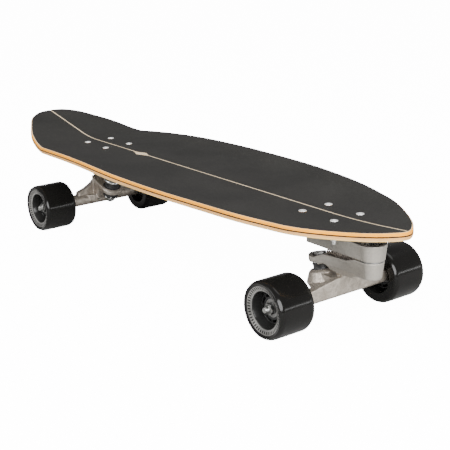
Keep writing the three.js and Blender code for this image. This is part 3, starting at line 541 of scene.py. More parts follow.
def wheelBuild(tree, shader, coords, v):
    wrap = node(tree, "ShaderNodeUVMap", uv_map="wrap").outputs[0]
    parts = node(tree, "ShaderNodeSeparateXYZ", {}, {0: wrap}).outputs
    cloud = useGroup(tree, cloudiness, coords, scale=v["cloud"])["Mask"]
    grain = useGroup(tree, speckle, coords, scale=v["grain"])
    ring = band(tree, parts[1], *v["ring"], v["ringBlur"])
    around = node(tree, "ShaderNodeMath", {1: v["ticks"]}, {0: parts[0]}, operation="MULTIPLY")
    phase = node(tree, "ShaderNodeMath", {}, {0: around.outputs[0]}, operation="FRACT").outputs[0]
    tick = band(tree, phase, 0.5 - v["tickShare"] / 2, 0.5 + v["tickShare"] / 2, v["tickBlur"])
    tickRing = band(tree, parts[1], *v["tickRing"], v["tickRingBlur"])
    cut = node(tree, "ShaderNodeMath", {}, {0: tick, 1: tickRing}, operation="MULTIPLY").outputs[0]
    tone = mixColor(tree, cloud, v["dark"], v["light"])
    ink = mixColor(tree, cloud, v["printWorn"], v["print"])
    ink = mixColor(tree, span(tree, grain["Mask"], 0, v["inkWorn"]), ink, v["printWorn"])
    ink = mixColor(tree, cut, ink, v["cone"])
    cone = band(tree, parts[1], v["coneInner"], v["coneEdge"], v["coneBlur"])
    tone = mixColor(tree, cone, mixColor(tree, ring, tone, ink), v["cone"])
    gloss = sumOf(tree, span(tree, cloud, *v["gloss"]), ring, v["printGloss"])
    gloss = sumOf(tree, gloss, cone, v["coneGloss"])
    connect(tree, shader, Base_Color=tone, Roughness=gloss, Metallic=span(tree, ring, 0, v["printMetal"]),
            Normal=bumpOf(tree, grain["Height"], v["relief"]))


wheelUrethane = newMaterial("wheelUrethane", wheelBuild, wheelLook, Specular_IOR_Level=0.17)

# Deck ply: the attribute plyHeight is millimetres over the underside, 0 to the deck's thickness.
plyLook = {
    "light": (0.85, 0.5, 0.2), "grainDark": 0.84, "grainLight": 1.06, "gloss": (0.45, 0.6), "relief": 0.03,
    "thickness": 9.8,
    "layers": [
        (0.0, (0.07, 0.063, 0.055)), (0.002, (0.07, 0.063, 0.055)), (0.012, (0.92, 0.61, 0.25)),
        (0.17, (0.92, 0.59, 0.23)), (0.2, (0.5, 0.28, 0.11)), (0.23, (0.67, 0.36, 0.14)),
        (0.44, (0.63, 0.33, 0.12)), (0.46, (0.018, 0.012, 0.008)), (0.61, (0.018, 0.012, 0.008)),
        (0.625, (0.92, 0.37, 0.04)), (0.78, (0.95, 0.36, 0.0)), (0.79, (0.84, 0.29, 0.0)),
        (0.81, (0.96, 0.365, 0.0)), (0.96, (0.95, 0.36, 0.0)), (0.975, (0.85, 0.56, 0.24)),
        (1.0, (0.62, 0.5, 0.35)),
    ],
}


def plyBuild(tree, shader, coords, v):
    height = node(tree, "ShaderNodeAttribute", attribute_name="plyHeight").outputs["Fac"]
    share = span(tree, height, 0, 1, 0, v["thickness"])
    layers = ramp(tree, share, v["layers"])
    grain = useGroup(tree, woodGrain, coords)
    shade = span(tree, grain["Tone"], v["grainDark"], v["grainLight"])
    toned = mixColor(tree, 1.0, layers, shade, "MULTIPLY")
    connect(tree, shader, Base_Color=toned, Roughness=span(tree, grain["Tone"], *v["gloss"]),
            Normal=bumpOf(tree, grain["Height"], v["relief"]))


ply = newMaterial("ply", plyBuild, plyLook, Specular_IOR_Level=0.06)

# Grip sheet: charcoal abrasive with pale and dark grains.
gripLook = {
    "light": (0.023, 0.022, 0.0205), "dark": (0.0165, 0.0158, 0.0148), "spark": (0.12, 0.117, 0.11),
    "cloud": 9, "grain": 1300, "relief": 0.14, "gloss": (0.62, 0.88), "sparkShare": 0.4,
    "coarse": 0.2, "sharpness": 0.8,
}


def gripBuild(tree, shader, coords, v):
    cloud = useGroup(tree, cloudiness, coords, scale=v["cloud"])["Mask"]
    grain = useGroup(tree, speckle, coords, scale=v["grain"], coarse=v["coarse"], sharpness=v["sharpness"])
    tone = mixColor(tree, cloud, v["dark"], v["light"])
    sparks = span(tree, grain["Height"], 0, v["sparkShare"], *maskRange["spark"])
    tone = mixColor(tree, sparks, tone, v["spark"])
    connect(tree, shader, Base_Color=tone, Roughness=span(tree, grain["Mask"], *v["gloss"]),
            Normal=bumpOf(tree, grain["Height"], v["relief"]))


gripAbrasive = newMaterial("gripAbrasive", gripBuild, gripLook, Specular_IOR_Level=0.15)
print("materials ready")

# The board
deck = {
    "length": 817, "width": 236, "thickness": 9.8, "edgeRound": 1.8, "flatWidth": 62, "kickBlend": 50,
    "kickRun": 155, "kickRise": 26.8, "noseRun": 124, "noseRise": 6.1, "railRise": 10,
    "railTailRun": 200, "railTailInset": 143, "railNoseRun": 274, "railPower": 1.6,
    "underside": 115.3, "stationsPerSpan": 12, "acrossSteps": 14, "flatCapShare": 0.5,
    "topRound": 1.7, "footRound": 2.0, "roundSteps": 5, "edgeSteps": 10, "heightTries": 3,
    "leastSpan": 1e-4, "leastWidth": 0.01,
    # Half the outline, tail to nose: share of the length, then share of half the width.
    "outlineShares": [
        (0, 0), (0.003, 0.165), (0.012, 0.275), (0.026, 0.375), (0.053, 0.488), (0.109, 0.67),
        (0.198, 0.805), (0.32, 0.911), (0.467, 0.992), (0.553, 1), (0.639, 0.981), (0.713, 0.936),
        (0.787, 0.866), (0.836, 0.784), (0.885, 0.674), (0.958, 0.356), (0.9865, 0.169), (1, 0),
    ],
}
grip = {
    "thickness": 0.6, "holeRadius": 5.4, "lineWidth": 2.3, "lozengeLength": 46, "lozengeWidth": 17,
    "lozengeAt": -123, "edgeSoft": 0.15,
}
bolts = {"along": 54, "across": 41.3, "front": 286.8, "rear": -217.8}
screw = {
    "shank": 4.8, "head": 9.5, "headHeight": 3, "crown": 0.6, "proud": 0.9, "length": 29, "socket": 3.2,
    "socketDepth": 1.8, "hole": 5.6, "nutFlats": 9.5, "nutHeight": 5.2, "pitch": 0.8, "threadDepth": 0.35,
    "plateThickness": 6.5, "steps": 36, "nutSteps": 48,
    "tip": (0.7, 0.35, 0.5), "threadClear": 6, "runOut": 0.4, "socketLip": 0.15, "socketTip": 0.3,
    # The head's rounded rim: how far in from its side and down from its top.
    "rim": [(0.15, 0.72), (0, 0.6), (0.12, 0.3), (0.55, 0.1), (1.1, 0)],
    "collar": {"tip": 0.8, "side": 0.84, "round": 0.35, "height": 1.1, "mouth": 0.5, "rim": 0.3, "foot": 0.4},
}
drill = {"steps": 24, "over": 2}
creases = {"deck": 50, "grip": 40, "slit": 30, "spring": 40, "wheel": 30}
tailX, noseX = -deck["length"] / 2, deck["length"] / 2


# The same curve through the outline's points as the solids have: centripetal, closed.
def outlineTable():
    half = deck["width"] / 2
    upper = [(tailX + x * deck["length"], y * half) for x, y in deck["outlineShares"]]
    loop = upper + [(x, -y) for x, y in reversed(upper[1:-1])]
    count, spans, per = len(loop), len(upper) - 1, deck["stationsPerSpan"]
    table = []
    for i in range(spans):
        p = [np.array(loop[(i + k) % count], float) for k in (-1, 0, 1, 2)]
        gaps = [max(np.linalg.norm(p[k + 1] - p[k]) ** 0.5, deck["leastSpan"]) for k in range(3)]
        t1 = (p[1] - p[0]) / gaps[0] - (p[2] - p[0]) / (gaps[0] + gaps[1]) + (p[2] - p[1]) / gaps[1]
        t2 = (p[2] - p[1]) / gaps[1] - (p[3] - p[1]) / (gaps[1] + gaps[2]) + (p[3] - p[2]) / gaps[2]
        t1, t2 = t1 * gaps[1], t2 * gaps[1]
        for k in range(per):
            t = k / per
            table.append(p[1] + t1 * t + (-3 * p[1] + 3 * p[2] - 2 * t1 - t2) * t * t
                         + (2 * p[1] - 2 * p[2] + t1 + t2) * t ** 3)
    table.append(np.array(upper[-1], float))
    table = np.array(table)
    table[:, 1] = np.clip(table[:, 1], 0, half)
    table[:, 0] = np.clip(table[:, 0], tailX, noseX)
    return table


outline = outlineTable()


def lineRise(x):
    back, front = tailX + deck["kickRun"] - x, x - noseX + deck["noseRun"]
    slope = deck["kickRise"] / (deck["kickRun"] - deck["kickBlend"] / 2)
    if back > deck["kickBlend"]:
        return slope * (back - deck["kickBlend"] / 2)
    if back > 0:
        return slope * back * back / (2 * deck["kickBlend"])
    return deck["noseRise"] * (max(front, 0) / deck["noseRun"]) ** 2


def lineSlope(x):
    back, front = tailX + deck["kickRun"] - x, x - noseX + deck["noseRun"]
    kick = deck["kickRise"] / (deck["kickRun"] - deck["kickBlend"] / 2)
    if back > 0:
        return -kick * min(back / deck["kickBlend"], 1)
    return 2 * deck["noseRise"] * max(front, 0) / deck["noseRun"] ** 2


def railRise(x):
    fromTail = min(max((x - tailX - deck["railTailInset"]) / deck["railTailRun"], 0), 1)
    toNose = min(max((x - noseX + deck["railNoseRun"]) / deck["railNoseRun"], 0), 1)
    return deck["railRise"] * (1 - (1 - fromTail) ** 2) * (1 - toNose ** deck["railPower"])


# A point of the board: x and y in plan, and millimetres up from the deck's underside.
def boardPoint(x, y, up):
    wide = float(np.interp(x, outline[:, 0], outline[:, 1]))
    flat = min(deck["flatWidth"] / 2, wide * deck["flatCapShare"])
    share = max(0, (abs(y) - flat) / (wide - flat)) if wide > flat + deck["leastWidth"] else 0
    z = lineRise(x) + railRise(x) * min(share, 1.0) ** 2
    return (x - lineSlope(x) * up, y, deck["underside"] + z + up)


# The outline moved inwards, square to itself, and never across the middle line.
def insetOutline(distance):
    ahead = np.roll(outline, -1, axis=0)
    behind = np.roll(outline, 1, axis=0)
    ahead[-1] = outline[-2] * (1, -1)
    behind[0] = outline[1] * (1, -1)
    along = ahead - behind
    along /= np.linalg.norm(along, axis=1)[:, None]
    moved = outline + np.stack([along[:, 1], -along[:, 0]], axis=1) * distance
    moved[:, 1] = np.clip(moved[:, 1], 0, None)
    moved[0, 1] = moved[-1, 1] = 0
    moved[:, 0] = np.maximum.accumulate(moved[:, 0])
    return moved


# A closed sheet: rows over the top, the profile down the edge, rows back under.
# The profile is (inset, up) pairs from the top to the foot. With clearHalf the sheet is one side only and
# starts that far from the middle line.
def sheetForm(profile, clearHalf=0.0):
    rings = [insetOutline(distance) for distance, _ in profile]
    steps = deck["acrossSteps"]
    points, faces = [], []
    sides = (1,) if clearHalf else (1, -1)
    for i in range(len(outline)):
        top, foot = rings[0][i], rings[-1][i]
        row = []
        for k in range(steps):
            y = clearHalf + max(top[1] - clearHalf, 0) * k / steps
            row.append(boardPoint(top[0], y, profile[0][1]))
        for ring, (_, up) in zip(rings, profile):
            row.append(boardPoint(ring[i][0], max(ring[i][1], clearHalf), up))
        for k in reversed(range(steps)):
            y = clearHalf + max(foot[1] - clearHalf, 0) * k / steps
            row.append(boardPoint(foot[0], y, profile[-1][1]))
        points.append(row)
    count = len(points[0])
    made = []
    for side in sides:
        start = len(made)
        for row in points:
            made += [(x, y * side, z) for x, y, z in row]
        for r in range(len(points) - 1):
            for i in range(count if clearHalf else count - 1):
                a = start + r * count + i
                b = start + r * count + (i + 1) % count
                faces.append((a, b, b + count, a + count))
    return made, faces


# The edge: a rounded top corner, a straight band and a rounded foot.
def edgeProfile():
    top, foot, high = deck["topRound"], deck["footRound"], deck["thickness"]
    quarter = [math.pi / 2 * k / deck["roundSteps"] for k in range(deck["roundSteps"] + 1)]
    profile = [(top * (1 - math.sin(a)), high - top * (1 - math.cos(a))) for a in quarter]
    straight = high - top - foot
    steps = deck["edgeSteps"]
    profile += [(0, high - top - straight * k / steps) for k in range(1, steps)]
    profile += [(foot * (1 - math.cos(a)), foot * (1 - math.sin(a))) for a in quarter]
    return profile


def drillAll(piece, rings):
    cutter = Form()
    for truck in ("front", "rear"):
        for sx in (-1, 1):
            for sy in (-1, 1):
                x = bolts[truck] + sx * bolts["along"] / 2
                cutter.add(*ringForm(rings, drill["steps"]), place(x, sy * bolts["across"] / 2, deck["underside"]))
    tool = newObject("drill", cutter.points, cutter.faces)
    cutAway(piece, tool)


def cutAway(piece, tool):
    cut = piece.modifiers.new("cut", "BOOLEAN")
    cut.operation = "DIFFERENCE"
    cut.solver = "EXACT"
    cut.object = tool
    applyModifiers(piece)
    bpy.data.objects.remove(tool)


# The finished mesh in place of the first one and its modifiers.
def applyModifiers(piece):
    graph = bpy.context.evaluated_depsgraph_get()
    graph.update()
    old = piece.data
    fresh = bpy.data.meshes.new_from_object(piece.evaluated_get(graph), preserve_all_data_layers=True,
                                            depsgraph=graph)
    piece.modifiers.clear()
    piece.data = fresh
    fresh.name = piece.name
    bpy.data.meshes.remove(old)


def makeDeck():
    points, faces = sheetForm(edgeProfile())
    form = Form().add(points, faces)
    piece = newObject("deckPly", form.points, form.faces, ply, creases["deck"])
    head, high = screw["head"] / 2 + slack, deck["thickness"]
    headTop = high + slack + grip["thickness"] + screw["proud"]
    sink = headTop - screw["crown"] - screw["headHeight"] - slack
    hole, over = screw["hole"] / 2, drill["over"]
    rings = [(0, -over), (hole, -over), (hole, sink), (head, high + slack), (head, high + over), (0, high + over)]
    drillAll(piece, rings)
    mesh = piece.data
    heights = np.zeros(len(mesh.vertices), np.float32)
    for i, vertex in enumerate(mesh.vertices):
        x, y, z = vertex.co / mm
        up = 0.0
        for _ in range(deck["heightTries"]):
            up = z - boardPoint(x + lineSlope(x) * up, y, 0)[2]
        heights[i] = min(max(up, 0), deck["thickness"])
    attribute = mesh.attributes.new("plyHeight", "FLOAT", "POINT")
    attribute.data.foreach_set("value", heights)
    smoothMesh(mesh, creases["deck"])
    dress(piece, "board", ["deck"])


def makeGrip():
    low, high, soft = deck["thickness"] + slack, deck["thickness"] + slack + grip["thickness"], grip["edgeSoft"]
    edge = deck["edgeRound"]
    profile = [(edge + soft, high), (edge, high - soft), (edge, low)]
    points, faces = sheetForm(profile, grip["lineWidth"] / 2)
    form = Form().add(points, faces)
    flipped = [(x, -y, z) for x, y, z in points]
    form.add(flipped, [tuple(reversed(face)) for face in faces])
    piece = newObject("gripSheet", form.points, form.faces, gripAbrasive, creases["grip"])
    hole, over = grip["holeRadius"], drill["over"]
    drillAll(piece, [(0, low - over), (hole, low - over), (hole, high + over), (0, high + over)])
    # A plain lozenge of bare ply on the middle line, behind the board's middle.
    at, long, wide = grip["lozengeAt"], grip["lozengeLength"] / 2, grip["lozengeWidth"] / 2
    corners = [(at - long, 0), (at, -wide), (at + long, 0), (at, wide)]
    z = [deck["underside"] + low - over, deck["underside"] + high + over]
    sides = [(k, (k + 1) % 4, 4 + (k + 1) % 4, 4 + k) for k in range(4)]
    lozenge = Form().add([(x, y, h) for h in z for x, y in corners], [(3, 2, 1, 0), (4, 5, 6, 7)] + sides)
    cutAway(piece, newObject("lozengeTool", lozenge.points, lozenge.faces))
    smoothMesh(piece.data, creases["grip"])
    dress(piece, "board", ["grip_tape"])


# The bare wood that shows along the slit between the two sheets
slit = {"clear": 0.05, "sunk": 1, "topShare": 0.75, "endClear": 2}


def makeSlitWood():
    half, low = grip["lineWidth"] / 2 - slit["clear"], deck["thickness"] - slit["sunk"]
    top = deck["thickness"] + slack + grip["thickness"] * slit["topShare"]
    end = deck["length"] / 2 - slit["endClear"] * deck["edgeRound"]
    form = Form()
    for flip in (1, -1):
        around = ((0, low), (half * flip, low), (half * flip, top), (0, top))
        rows = [[boardPoint(x, y, up) for y, up in around] for x in outline[:, 0] if abs(x) < end]
        points = [p for row in rows for p in row]
        faces = [[4 * r + i, 4 * r + (i + 1) % 4, 4 * r + 4 + (i + 1) % 4, 4 * r + 4 + i]
                 for r in range(len(rows) - 1) for i in range(4) if i != 3]
        form.add(points, faces + [(0, 1, 2, 3), tuple(len(points) - 4 + i for i in (3, 2, 1, 0))])
    piece = form.piece("slitWood", ply, "board", "ply", [], creases["slit"])
    attribute = piece.data.attributes.new("plyHeight", "FLOAT", "POINT")
    attribute.data.foreach_set("value", [deck["thickness"]] * len(piece.data.vertices))


makeDeck()
makeGrip()
makeSlitWood()
print("deck and grip made")


# A node tree with named inputs: the tree, each input's identifier, and the inner sockets.
def geometryTree(name, inputs):
    tree = bpy.data.node_groups.new(name, "GeometryNodeTree")
    tree.interface.new_socket(name="Geometry", in_out="INPUT", socket_type="NodeSocketGeometry")
    ids = {}
    for title, kind, value in inputs:
        socket = tree.interface.new_socket(name=title, in_out="INPUT", socket_type=kind)
        if value is not None:
            socket.default_value = value
        ids[title] = socket.identifier
    tree.interface.new_socket(name="Geometry", in_out="OUTPUT", socket_type="NodeSocketGeometry")
    return tree, ids, tree.nodes.new("NodeGroupInput").outputs, tree.nodes.new("NodeGroupOutput").inputs


def grown(piece, tree, ids, **values):
    grow = piece.modifiers.new("grow", "NODES")
    grow.node_group = tree
    for title, value in values.items():
        grow[ids[title]] = value
    applyModifiers(piece)


# Copies of a mesh, each moved to a place that is given by its sockets.
def copiesAt(tree, source, spots):
    both = tree.nodes.new("GeometryNodeJoinGeometry")
    for spot in spots:
        at = node(tree, "ShaderNodeCombineXYZ", {}, spot)
        moved = node(tree, "GeometryNodeTransform", {}, {"Geometry": source, "Translation": at.outputs[0]})
        tree.links.new(moved.outputs[0], both.inputs[0])
    return both.outputs[0]


def paintedOut(tree, geometry, finish, out):
    painted = node(tree, "GeometryNodeSetMaterial", {}, {"Geometry": geometry, "Material": finish})
    tree.links.new(painted.outputs[0], out[0])


# One source piece at the four corners of each truck's bolt pattern.
def fastenerTree():
    tree, ids, given, out = geometryTree("boltPattern", [
        ("Source", "NodeSocketObject", None), ("Along", "NodeSocketFloat", 0.054),
        ("Across", "NodeSocketFloat", 0.0413), ("Front", "NodeSocketFloat", 0.28),
        ("Rear", "NodeSocketFloat", -0.21), ("Height", "NodeSocketFloat", 0.115),
        ("Finish", "NodeSocketMaterial", None),
    ])
    source = node(tree, "GeometryNodeObjectInfo", {}, {"Object": given["Source"]})
    grid = node(tree, "GeometryNodeMeshGrid", {"Vertices X": 2, "Vertices Y": 2},
                {"Size X": given["Along"], "Size Y": given["Across"]})
    spots = copiesAt(tree, grid.outputs[0],
                     [{"X": given[truck], "Z": given["Height"]} for truck in ("Front", "Rear")])
    spread = node(tree, "GeometryNodeInstanceOnPoints", {},
                  {"Points": spots, "Instance": source.outputs["Geometry"]})
    real = node(tree, "GeometryNodeRealizeInstances", {}, {0: spread.outputs[0]})
    paintedOut(tree, real.outputs[0], given["Finish"], out)
    return tree, ids


def fastenerSet(name, source, material, nodes):
    tree, ids = fastenerTree()
    piece = newObject(name, [(0, 0, 0)], [], material, 0)
    grown(piece, tree, ids, Source=source, Along=bolts["along"] * mm, Across=bolts["across"] * mm,
          Front=bolts["front"] * mm, Rear=bolts["rear"] * mm, Height=deck["underside"] * mm, Finish=material)
    bpy.data.objects.remove(source)
    dress(piece, "board", nodes)


def numbered(stem):
    return [f"{truck}_{stem}_{i}" for truck in ("front", "rear") for i in (1, 2, 3, 4)]


def makeFasteners():
    s = screw
    top = deck["thickness"] + slack + grip["thickness"] + s["proud"]
    shank, head = s["shank"] / 2, s["head"] / 2
    neck, foot = top - s["crown"] - s["headHeight"], top - s["length"]
    socket = hexReach(s["socket"])
    threadTop, lip = neck - s["threadClear"], s["socketLip"]
    rings = threadedFoot(foot, threadTop, shank, s) + [(shank, threadTop + s["runOut"]), (shank, neck)]
    rings += [(head - inwards, top - down) for inwards, down in s["rim"]]
    rings += [(lambda a: socket(a) + lip, top), (socket, top - lip)]
    rings += [(socket, top - s["socketDepth"]), (0, top - s["socketDepth"] - s["socketTip"])]
    form = Form().add(*ringForm(rings, s["steps"], closed=False))
    fastenerSet("mountScrews", newObject("screwSource", form.points, form.faces, brightZinc), brightZinc,
                numbered("mount_bolt"))
    high = -slack - s["plateThickness"] - slack
    low = high - s["nutHeight"]
    rings = lockNutRings(s["nutFlats"], low, high, shank + slack, s["collar"])
    form = Form().add(*ringForm(rings, s["nutSteps"]))
    fastenerSet("mountNuts", newObject("nutSource", form.points, form.faces, brightZinc), brightZinc,
                numbered("mount_nut"))


makeFasteners()
print("fasteners made")

# Truck frames: x along the truck towards its pivot end, z = 0 at the deck's underside
truckPlace = {
    "front": place(bolts["front"], 0, deck["underside"]),
    "rear": place(bolts["rear"], 0, deck["underside"]) @ turn(180, "Z"),
}
kingpins = {
    "front": {
        "ringX": -12.3, "ringDrop": 68.3, "lean": 14.5, "up": 22.3, "down": 22, "ringHeight": 15,
        "seatDepth": 3, "upper": 9.9, "lower": 7.5, "lip": 0, "pivotX": 38.7, "pivotDrop": 49.3,
        "body": "swing_arm",
    },
    "rear": {
        "ringX": -1.8, "ringDrop": 61.3, "lean": 20, "up": 47, "down": 23, "ringHeight": 10,
        "seatDepth": 2, "upper": 13, "lower": 9.5, "lip": 1.4, "pivotX": 43.7, "pivotDrop": 35.5,
        "body": "board",
    },
}
kingpin = {
    "diameter": 9.5, "flats": 14.3, "headHeight": 5, "domeShare": 0.3, "nutHeight": 6.5, "pitch": 1.1,
    "threadDepth": 0.4, "tip": (1, 0.4, 0.8), "threadOver": 3, "runOut": 0.3, "steps": 48,
    "collar": {"tip": 0.82, "side": 0.86, "round": 0.5, "height": 1.5, "mouth": 0.4, "rim": 0.4, "foot": 0.5},
}
bushing = {
    "radius": 12, "waist": 10.8, "bore": 5.2, "lowerRadius": 10, "steps": 64, "rimDrop": 0.3, "waistSwell": 0.15,
    "rimShares": (0.14, 0.86), "waistShares": (0.34, 0.66), "wallShares": (0.8, 0.6, 0.4, 0.2),
    "endIn": 0.2, "boreRound": 0.3, "endRound": 0.8, "sideRound": 1.2, "wallRound": 0.5, "roundSteps": 5,
}
cupWasher = {"thickness": 1.2, "flatShare": 0.9, "steps": 64, "round": 0.3, "boreRound": 0.2,
             "outerBend": 0.9, "innerBend": 0.4}
pivotCup = {"tipRadius": 4.5, "wall": 1.8, "depth": 9, "steps": 48, "seatRound": 1, "lipRound": 0.4,
            "backRound": 0.8}


def makeKingpin(truck):
    v = kingpins[truck]
    body = v["body"]
    at = truckPlace[truck] @ place(v["ringX"], 0, -v["ringDrop"]) @ turn(-v["lean"], "Y")
    radius = kingpin["diameter"] / 2
    seat = v["ringHeight"] / 2 - v["seatDepth"] + slack
    upperTop, lowerFoot = seat + v["upper"], -seat - v["lower"]
    upperSteel, lowerSteel = upperTop + slack, lowerFoot - slack

    # Bolt: domed hex head, plain shank, thread at the foot.
    threadTop = lowerFoot + kingpin["threadOver"]
    rings = threadedFoot(-v["down"], threadTop, radius, kingpin)
    rings += [(radius, threadTop + kingpin["runOut"]), (radius, v["up"])]
    rings += hexRings(kingpin["flats"], v["up"], v["up"] + kingpin["headHeight"], radius)[1:-1]
    crown = kingpin["flats"] * kingpin["domeShare"]
    rings += [(crown, v["up"] + kingpin["headHeight"]), (0, v["up"] + kingpin["headHeight"])]
    Form().add(*ringForm(rings, kingpin["steps"], closed=False), at).piece(
        truck + "Kingpin", zincSteel, body, "steel", [truck + "_kingpin"])

    # Lock nut with its collar.
    high = lowerSteel - cupWasher["thickness"] - slack
    low = high - kingpin["nutHeight"]
    rings = lockNutRings(kingpin["flats"], low, high, radius + slack, kingpin["collar"])
    Form().add(*ringForm(rings, kingpin["steps"]), at).piece(
        truck + "KingpinNut", zincSteel, body, "steel", [truck + "_kingpin_nut"])

    # Bushings, waisted, with softened rims.
    for label, size, foot, tall, held, leant in (
            ("Upper", bushing["radius"], seat, v["upper"], upperTop, seat),
            ("Lower", bushing["lowerRadius"], lowerFoot, v["lower"], lowerFoot, -seat)):
        waist = size * bushing["waist"] / bushing["radius"] + bushing["waistSwell"]
        top, bore, rim = foot + tall, bushing["bore"], size - bushing["rimDrop"]
        (rimLow, rimHigh), (waistLow, waistHigh) = bushing["rimShares"], bushing["waistShares"]
        side = [(rim, foot + tall * rimLow), (waist, foot + tall * waistLow),
                (waist, foot + tall * waistHigh), (rim, foot + tall * rimHigh)]
        wall = [(bore, foot + tall * share) for share in bushing["wallShares"]]
        end, hollow, edge = size - bushing["endIn"], bushing["boreRound"], bushing["endRound"]
        corners = [(bore, foot, hollow), (end, foot, edge), *[(*p, bushing["sideRound"]) for p in side],
                   (end, top, edge), (bore, top, hollow), *wall]
        profile = rounded(corners, bushing["roundSteps"], bushing["wallRound"])
        form = Form().add(*ringForm(profile, bushing["steps"]), at)
        piece = newObject(f"{truck}{label}Bushing", form.points, form.faces, blackRubber)
        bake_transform(piece)
        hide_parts(f"{truck}_{label.lower()}_bushing")

    # Washers: cupped round the bushing where there is a lip, flat where there is none.
    for label, size, face, away in (("Upper", bushing["radius"], upperSteel, 1),
                                    ("Lower", bushing["lowerRadius"], lowerSteel, -1)):
        t, lip, bore = cupWasher["thickness"], v["lip"], bushing["bore"]
        far, soft, hollow = face + away * t, cupWasher["round"], cupWasher["boreRound"]
        if lip:
            inner, end = size + slack, face - away * lip
            edge = [(inner, far, cupWasher["outerBend"]), (inner + t, end, soft), (inner, end, soft),
                    (inner, face, cupWasher["innerBend"])]
        else:
            edge = [(size * cupWasher["flatShare"], far, soft), (size * cupWasher["flatShare"], face, soft)]
        profile = rounded([(bore, far, hollow), *edge, (bore, face, hollow)], fineSteps)
        Form().add(*ringForm(profile, cupWasher["steps"]), at).piece(
            f"{truck}{label}Washer", polishedSteel, body, "bright_steel", [f"{truck}_{label.lower()}_washer"])

    # The cup that the pivot's nose sits in.
    lean = math.degrees(math.atan2(v["pivotX"] - v["ringX"], v["ringDrop"] - v["pivotDrop"]))
    along = truckPlace[truck] @ place(v["pivotX"], 0, -v["pivotDrop"]) @ turn(lean, "Y")
    inner = pivotCup["tipRadius"] + slack
    outer, low, top = inner + pivotCup["wall"], -pivotCup["depth"], slack + pivotCup["wall"]
    seated, lip, rim = pivotCup["seatRound"], pivotCup["lipRound"], pivotCup["backRound"]
    profile = [(0, slack), (inner - seated, slack), (inner, slack - seated), (inner, low + lip),
               (inner + lip, low), (outer - lip, low), (outer, low + lip), (outer, top - rim),
               (outer - rim, top), (0, top)]
    Form().add(*ringForm(profile, pivotCup["steps"], closed=False), along).piece(
        truck + "PivotCup", blackRubber, body, "soft_urethane", [truck + "_pivot_cup"])


for truckName in kingpins:
    makeKingpin(truckName)
print("kingpins made")

# The swing pivot: bolt, nut and thrust washer
swing = {
    "place": 67.7, "head": 8, "headHeight": 6, "crown": 2, "diameter": 10, "socket": 6, "flats": 15,
    "nutHeight": 6, "headSeat": -17.9, "nutSeat": -45.2, "washerLow": -30.4, "washerRadius": 14,
    "washerBore": 5.4, "washerThickness": 1.2, "steps": 60, "nutSteps": 48, "washerSteps": 96,
    "pitch": 1.25, "threadDepth": 0.45, "tip": (0.8, 0.4, 0.6), "threadOver": 4, "runOut": 0.4, "soften": 0.3,
    "socketDepth": 4, "socketTip": 0.6, "crownTurns": (0.4, 0.8, 1.2, math.pi / 2),
    "washerRound": 0.25,
}


def makeSwingPivot():
    s = swing
    at = truckPlace["front"] @ place(s["place"])
    radius, head = s["diameter"] / 2, s["headSeat"] + slack
    top, socket = head + s["headHeight"], hexReach(s["socket"])
    foot = s["nutSeat"] - slack - s["nutHeight"]
    threadTop, side, soft = s["nutSeat"] + s["threadOver"], s["head"], s["soften"]
    deep = top - s["socketDepth"]
    rings = threadedFoot(foot, threadTop, radius, s) + [(radius, threadTop + s["runOut"]), (radius, head)]
    rings += [(side - soft, head), (side, head + soft), (side, top - s["crown"])]
    rings += [(side - s["crown"] * (1 - math.cos(a)), top - s["crown"] * (1 - math.sin(a)))
              for a in s["crownTurns"]]
    rings += [(lambda a: socket(a) + soft, top), (socket, top - soft), (socket, deep), (0, deep - s["socketTip"])]
    Form().add(*ringForm(rings, s["steps"], closed=False), at).piece(
        "swingBolt", polishedSteel, "board", "bright_steel", ["arm_pivot_bolt"])
    high, bore = s["nutSeat"] - slack, radius + slack
    rings = hexRings(s["flats"], high - s["nutHeight"], high, bore)
    Form().add(*ringForm(rings, s["nutSteps"]), at).piece("swingNut", zincSteel, "board", "steel", ["arm_pivot_nut"])
    low, thick = s["washerLow"], s["washerThickness"]
    profile = rounded([(s["washerBore"], low), (s["washerRadius"], low), (s["washerRadius"], low + thick),
                       (s["washerBore"], low + thick)], fineSteps, s["washerRound"])
    Form().add(*ringForm(profile, s["washerSteps"]), at).piece(
        "thrustWasher", shieldSteel, "board", "bright_steel", ["arm_thrust_washer"])


makeSwingPivot()

# The coil spring, wound by a node tree
coil = {"radius": 5, "wire": 2.2, "start": -3, "end": 45, "drop": 35.5, "curls": 14, "steps": 28, "sides": 14}


def coilTree():
    tree, ids, given, out = geometryTree("coilSpring", [
        ("Curls", "NodeSocketFloat", 10.0), ("Radius", "NodeSocketFloat", 0.004),
        ("Length", "NodeSocketFloat", 0.045), ("Wire", "NodeSocketFloat", 0.001),
        ("Steps", "NodeSocketInt", 24), ("Sides", "NodeSocketInt", 12),
        ("Turned", "NodeSocketRotation", None), ("Place", "NodeSocketVector", None),
        ("Finish", "NodeSocketMaterial", None),
    ])
    helix = node(tree, "GeometryNodeCurveSpiral", {}, {
        "Resolution": given["Steps"], "Rotations": given["Curls"], "Start Radius": given["Radius"],
        "End Radius": given["Radius"], "Height": given["Length"]})
    ring = node(tree, "GeometryNodeCurvePrimitiveCircle", {}, {"Resolution": given["Sides"], "Radius": given["Wire"]})
    tube = node(tree, "GeometryNodeCurveToMesh", {"Fill Caps": True},
                {"Curve": helix.outputs[0], "Profile Curve": ring.outputs[0]})
    laid = node(tree, "GeometryNodeTransform", {}, {
        "Geometry": tube.outputs[0], "Rotation": given["Turned"], "Translation": given["Place"]})
    real = node(tree, "GeometryNodeRealizeInstances", {}, {0: laid.outputs[0]})
    paintedOut(tree, real.outputs[0], given["Finish"], out)
    return tree, ids


